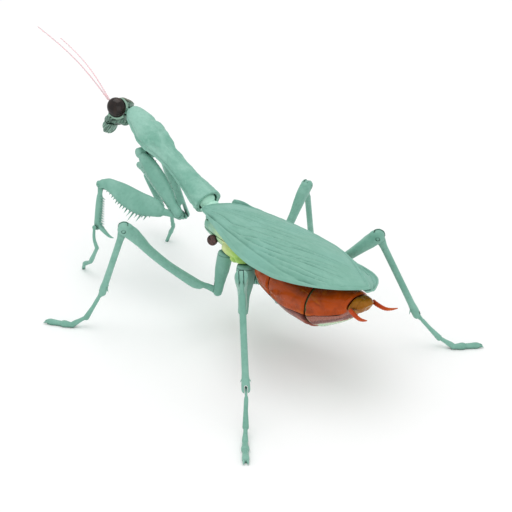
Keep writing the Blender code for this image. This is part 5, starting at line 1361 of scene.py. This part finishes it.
# vein lines: (x, share of the half width) pairs on the wing, from the root outwards
COSTAL = [(21.0, 0.93), (16.4, 0.93), (10.0, 0.85), (3.3, 0.81), (-7.7, 0.765), (-16.0, 0.755), (-23.2, 0.757), (-35.0, 0.81), (-44.2, 0.875), (-50.0, 0.93), (-56.0, 0.98)]
VEINS = [
    [(17.0, 0.80), (8.0, 0.62), (-1.2, 0.60), (-11.1, 0.40), (-22.6, 0.24), (-34.0, 0.10), (-44.0, -0.05)],
    [(3.3, 0.78), (-8.5, 0.70), (-18.0, 0.48), (-28.1, 0.33), (-36.3, 0.15), (-48.0, -0.02)],
    [(-6.0, 0.74), (-13.6, 0.70), (-26.6, 0.60), (-36.5, 0.48), (-47.0, 0.36), (-57.0, 0.25)],
    [(-20.0, 0.74), (-30.0, 0.70), (-40.0, 0.66), (-49.4, 0.70), (-58.0, 0.72)],
    [(19.0, 0.70), (10.0, 0.35), (0.0, 0.18), (-12.0, 0.02), (-26.0, -0.14), (-40.0, -0.30)],
    [(15.0, 0.30), (5.0, 0.02), (-8.0, -0.18), (-22.0, -0.34), (-36.0, -0.50)],
    [(10.0, 0.05), (0.0, -0.25), (-14.0, -0.42), (-28.0, -0.58), (-38.0, -0.68)],
    [(-1.2, 0.60), (-6.0, 0.50), (-11.3, 0.20), (-20.0, 0.05), (-30.0, -0.08)],
    [(-12.0, 0.60), (-20.0, 0.52), (-31.0, 0.44), (-41.0, 0.30), (-50.0, 0.14), (-58.0, 0.02)],
    [(-24.0, 0.64), (-33.0, 0.57), (-42.0, 0.50), (-52.0, 0.46), (-60.0, 0.44)],
    [(-33.0, 0.78), (-41.0, 0.78), (-50.0, 0.82), (-57.0, 0.86)],
    [(-18.0, 0.30), (-27.0, 0.18), (-38.0, 0.04), (-49.0, -0.14), (-56.0, -0.30)],
]
CROSS = [[(x, 0.62 - 0.010 * (-x - 20)), (x - 3.2, 0.50 - 0.010 * (-x - 20)), (x - 4.5, 0.33 - 0.011 * (-x - 20))] for x in (-22.0, -26.5, -31.0, -35.0, -38.5, -42.0, -45.5)]
CROSS += [[(x, 0.74), (x - 2.0, 0.64)] for x in (-10.0, -14.0, -18.0, -25.0, -29.0, -38.0, -46.0)]
CROSS += [[(x, 0.30), (x - 2.4, 0.12)] for x in (-14.0, -19.0, -25.0, -31.0)]


def line_field(px, py, line, width, soft=1.0):
    """How close each grid point is to a line, as a soft ridge from 0 to 1."""
    pts = smooth_path([Vector((q[0], q[1], 0.0)) for q in line], 6)
    best = np.full(px.shape, 1e9)
    along = np.zeros(px.shape)
    n = len(pts) - 1
    for i in range(n):
        ax_, ay_, bx_, by_ = pts[i].x, pts[i].y, pts[i + 1].x, pts[i + 1].y
        dx, dy = bx_ - ax_, by_ - ay_
        t = np.clip(((px - ax_) * dx + (py - ay_) * dy) / max(dx * dx + dy * dy, 1e-9), 0, 1)
        dd = (px - ax_ - t * dx) ** 2 + (py - ay_ - t * dy) ** 2
        along = np.where(dd < best, (i + t) / n, along)
        best = np.minimum(best, dd)
    fade = np.clip(along / 0.08, 0, 1) * np.clip((1 - along) / 0.25, 0, 1)
    return np.exp(-best / width ** 2) * (fade if soft else 1.0)


def wing_mesh(side):
    sign = SIDES[side]
    right = side == "right"
    tab = []
    for x, lat in LATERAL:
        inner, w, lift, edge = INNER[x], lat, 0.0, 0.0
        if right:
            if x > 17.5:
                continue
            inner = RIGHT_INNER.get(x, -1.5)
            lift, edge = LIFT.get(x, 0.0), LIFT_EDGE.get(x, 10.4)
            lat = lat + RIGHT_WIDER.get(x, -0.5)
        tab.append((-x, inner, lat, w, lift, edge))
    cols = list(zip(*tab))
    nx, ny = 230, 92
    x0, x1 = tab[0][0], tab[-1][0]
    top = np.zeros((nx, ny, 3))
    half = np.zeros((nx, ny))
    wid = np.zeros((nx, 1))
    for i in range(nx):
        u = i / (nx - 1)
        u = u - 0.06 * math.sin(2 * math.pi * u) / (2 * math.pi) * 2.0
        q = x0 + (x1 - x0) * u
        inner, lat, w, lift, edge = [pchip(cols[0], cols[c], q) for c in range(1, 6)]
        # rounded ends of the outline
        e0, e1 = (q - x0), (x1 - q)
        pinch = math.sqrt(max(1.0 - (1.0 - min(e0 / 0.9, 1.0)) ** 2, 0.02)) * math.sqrt(max(1.0 - (1.0 - min(e1 / 0.9, 1.0)) ** 2, 0.02))
        c = (inner + lat) / 2.0
        hw = (lat - inner) / 2.0 * (0.35 + 0.65 * pinch)
        wid[i, 0] = w
        for j in range(ny):
            v = 0.5 - 0.5 * math.cos(math.pi * j / (ny - 1)) if False else j / (ny - 1)
            v = v - 0.10 * math.sin(2 * math.pi * v) / (2 * math.pi) * 1.5
            y = c - hw + 2 * hw * v
            x = -q
            zz = wing_height(x, y, w) - (1.25 if right else 0.0)
            if right and lift > 0:
                zz += lift * (lambda k: k * k * (3 - 2 * k))(min(max((y - edge) / 1.8, 0.0), 1.0))
            top[i, j] = (x, y, zz)
            dd = min(2 * hw * v, 2 * hw * (1 - v), e0 + 0.05, e1 + 0.05)
            half[i, j] = THICK / 2.0 * (0.22 + 0.78 * math.sqrt(max(1.0 - (1.0 - min(dd / 0.55, 1.0)) ** 2, 0.0)))
    px = top[:, :, 0]
    share = top[:, :, 1] / wid
    py = share * 14.0
    scale = lambda line: [(p[0], p[1] * 14.0) for p in line]
    detail = np.zeros(px.shape)
    detail -= 0.50 * line_field(px, py, scale(COSTAL), 0.60, 0)
    crease_at = np.interp(-px, [-c[0] for c in COSTAL], [c[1] for c in COSTAL])
    outer = np.clip((share - crease_at) / 0.22, 0, 1) * np.clip((px + 56.0) / 12.0, 0, 1)
    detail -= 0.55 * outer * outer
    shift = [(p[0], p[1] + 0.055) for p in COSTAL]
    detail += 0.28 * line_field(px, py, scale(shift), 0.65, 0)
    for k, line in enumerate(VEINS):
        detail += 0.30 * line_field(px, py, scale(line), 0.34)
        low_side = [(p[0], p[1] - 0.042) for p in line]
        detail -= 0.20 * line_field(px, py, scale(low_side), 0.40)
    for line in CROSS:
        detail += 0.16 * line_field(px, py, scale(line), 0.24)
    rim = np.zeros(px.shape)
    for i in range(nx):
        for j in range(ny):
            e = min(top[i, j, 1] - top[i, 0, 1], top[i, -1, 1] - top[i, j, 1])
            rim[i, j] = 0.22 * math.exp(-((e - 0.45) / 0.30) ** 2) - 0.18 * math.exp(-((e - 1.25) / 0.40) ** 2)
            p = Vector((top[i, j, 0] * 0.22, top[i, j, 1] * 0.5, 3.0 if right else 0.0))
            rim[i, j] += 0.075 * noise.noise(p * 1.2) + 0.045 * noise.noise(Vector((p.x * 3.0, p.y * 4.5, p.z + 9.0)))
    fade = np.clip(half / (THICK / 2.0), 0, 1) ** 2
    detail = (detail + rim) * fade
    # keep relief off the hidden overlap between the two wings, where they nearly touch
    if right:
        hidden = np.clip((8.0 - (top[:, :, 1] - 0.0)) / 3.0, 0, 1) * np.clip((40.0 + px) / 10.0, 0, 1)
        detail = np.minimum(detail, 0.05) * hidden + detail * (1 - hidden)
    mid_z = top[:, :, 2] - THICK / 2.0
    hi = mid_z + half + detail
    lo = mid_z - half
    pts, faces = [], []
    for i in range(nx):
        for j in range(ny):
            pts.append(at(top[i, j, 0], sign * top[i, j, 1], hi[i, j]))
    base = len(pts)
    for i in range(nx):
        for j in range(ny):
            pts.append(at(top[i, j, 0], sign * top[i, j, 1], lo[i, j]))
    k = lambda i, j: i * ny + j
    for i in range(nx - 1):
        for j in range(ny - 1):
            faces.append((k(i, j), k(i + 1, j), k(i + 1, j + 1), k(i, j + 1)))
            faces.append((base + k(i, j), base + k(i, j + 1), base + k(i + 1, j + 1), base + k(i + 1, j)))
    for i in range(nx - 1):
        faces.append((k(i, 0), base + k(i, 0), base + k(i + 1, 0), k(i + 1, 0)))
        faces.append((k(i, ny - 1), k(i + 1, ny - 1), base + k(i + 1, ny - 1), base + k(i, ny - 1)))
    for j in range(ny - 1):
        faces.append((k(0, j), k(0, j + 1), base + k(0, j + 1), base + k(0, j)))
        faces.append((k(nx - 1, j), base + k(nx - 1, j), base + k(nx - 1, j + 1), k(nx - 1, j + 1)))
    return pts, faces


for side in ("left", "right"):
    wing = make("forewing_" + side, wing_mesh(side))
    H = WING_HINGE[side]
    hx = H - MID
    topz = wing_height(hx.x, abs(hx.y), 8.0) - (1.25 if side == "right" else 0.0)
    join(wing, revolve(H, Z, [(-1.0, 0.2)] + ball_rows(1.0, -0.85, 0.6, 7) + [(0.95, 0.75), (topz - H.z - 0.35, 0.8)], 32, 0.2))
    finish_piece(wing, "wing_" + side, wing_mat, "wing_plastic", side + "_forewing", angle=60.0)


# ================================================================ stage, light, camera
def stage():
    me = bpy.data.meshes.new("floor")
    me.from_pydata([(-3, -3, 0), (3, -3, 0), (3, 3, 0), (-3, 3, 0)], [], [(0, 1, 2, 3)])
    floor = bpy.data.objects.new("floor", me)
    bpy.context.scene.collection.objects.link(floor)
    m = bpy.data.materials.new("pale_floor")
    m.use_nodes = True
    p = m.node_tree.nodes["Principled BSDF"]
    p.inputs["Base Color"].default_value = (0.985, 0.99, 0.99, 1.0)
    p.inputs["Roughness"].default_value = 0.9
    p.inputs["Specular IOR Level"].default_value = 0.1
    me.materials.append(m)
    return floor


stage()
world = bpy.data.worlds.new("studio")
bpy.context.scene.world = world
world.use_nodes = True
world.node_tree.nodes["Background"].inputs["Color"].default_value = (1.0, 1.0, 1.0, 1.0)
world.node_tree.nodes["Background"].inputs["Strength"].default_value = 0.83


def area(name, position, target, size, energy, colour=(1.0, 1.0, 1.0)):
    data = bpy.data.lights.new(name, "AREA")
    data.size = size
    data.energy = energy
    data.color = colour
    ob = bpy.data.objects.new(name, data)
    ob.location = position
    ob.rotation_euler = (Vector(target) - Vector(position)).to_track_quat("-Z", "Y").to_euler()
    bpy.context.scene.collection.objects.link(ob)
    return ob


area("key", (0.14, 0.02, 1.05), (0.0, 0.0, 0.03), 0.8, 3.0)
area("fill", (-0.9, 0.55, 0.45), (0.0, 0.0, 0.03), 0.8, 1.0)

scene = bpy.context.scene
scene.view_settings.view_transform = "Standard"
scene.view_settings.look = "None"

cam_data = bpy.data.cameras.new("camera")
cam_data.sensor_width = 36.0
cam_data.lens = 97.3
cam_data.clip_start = 0.01
cam_data.clip_end = 20.0
cam = bpy.data.objects.new("camera", cam_data)
bpy.context.scene.collection.objects.link(cam)
eye_point = (Vector((-366.8, 277.95, 265.97)) + MID) * MM
look_at = (Vector((43.27, -37.2, 0.88)) + MID) * MM
f = (look_at - eye_point).normalized()
right = f.cross(Z).normalized()
up = right.cross(f)
cam.matrix_world = Matrix(((right.x, up.x, -f.x, eye_point.x), (right.y, up.y, -f.y, eye_point.y), (right.z, up.z, -f.z, eye_point.z), (0, 0, 0, 1)))
scene.camera = cam
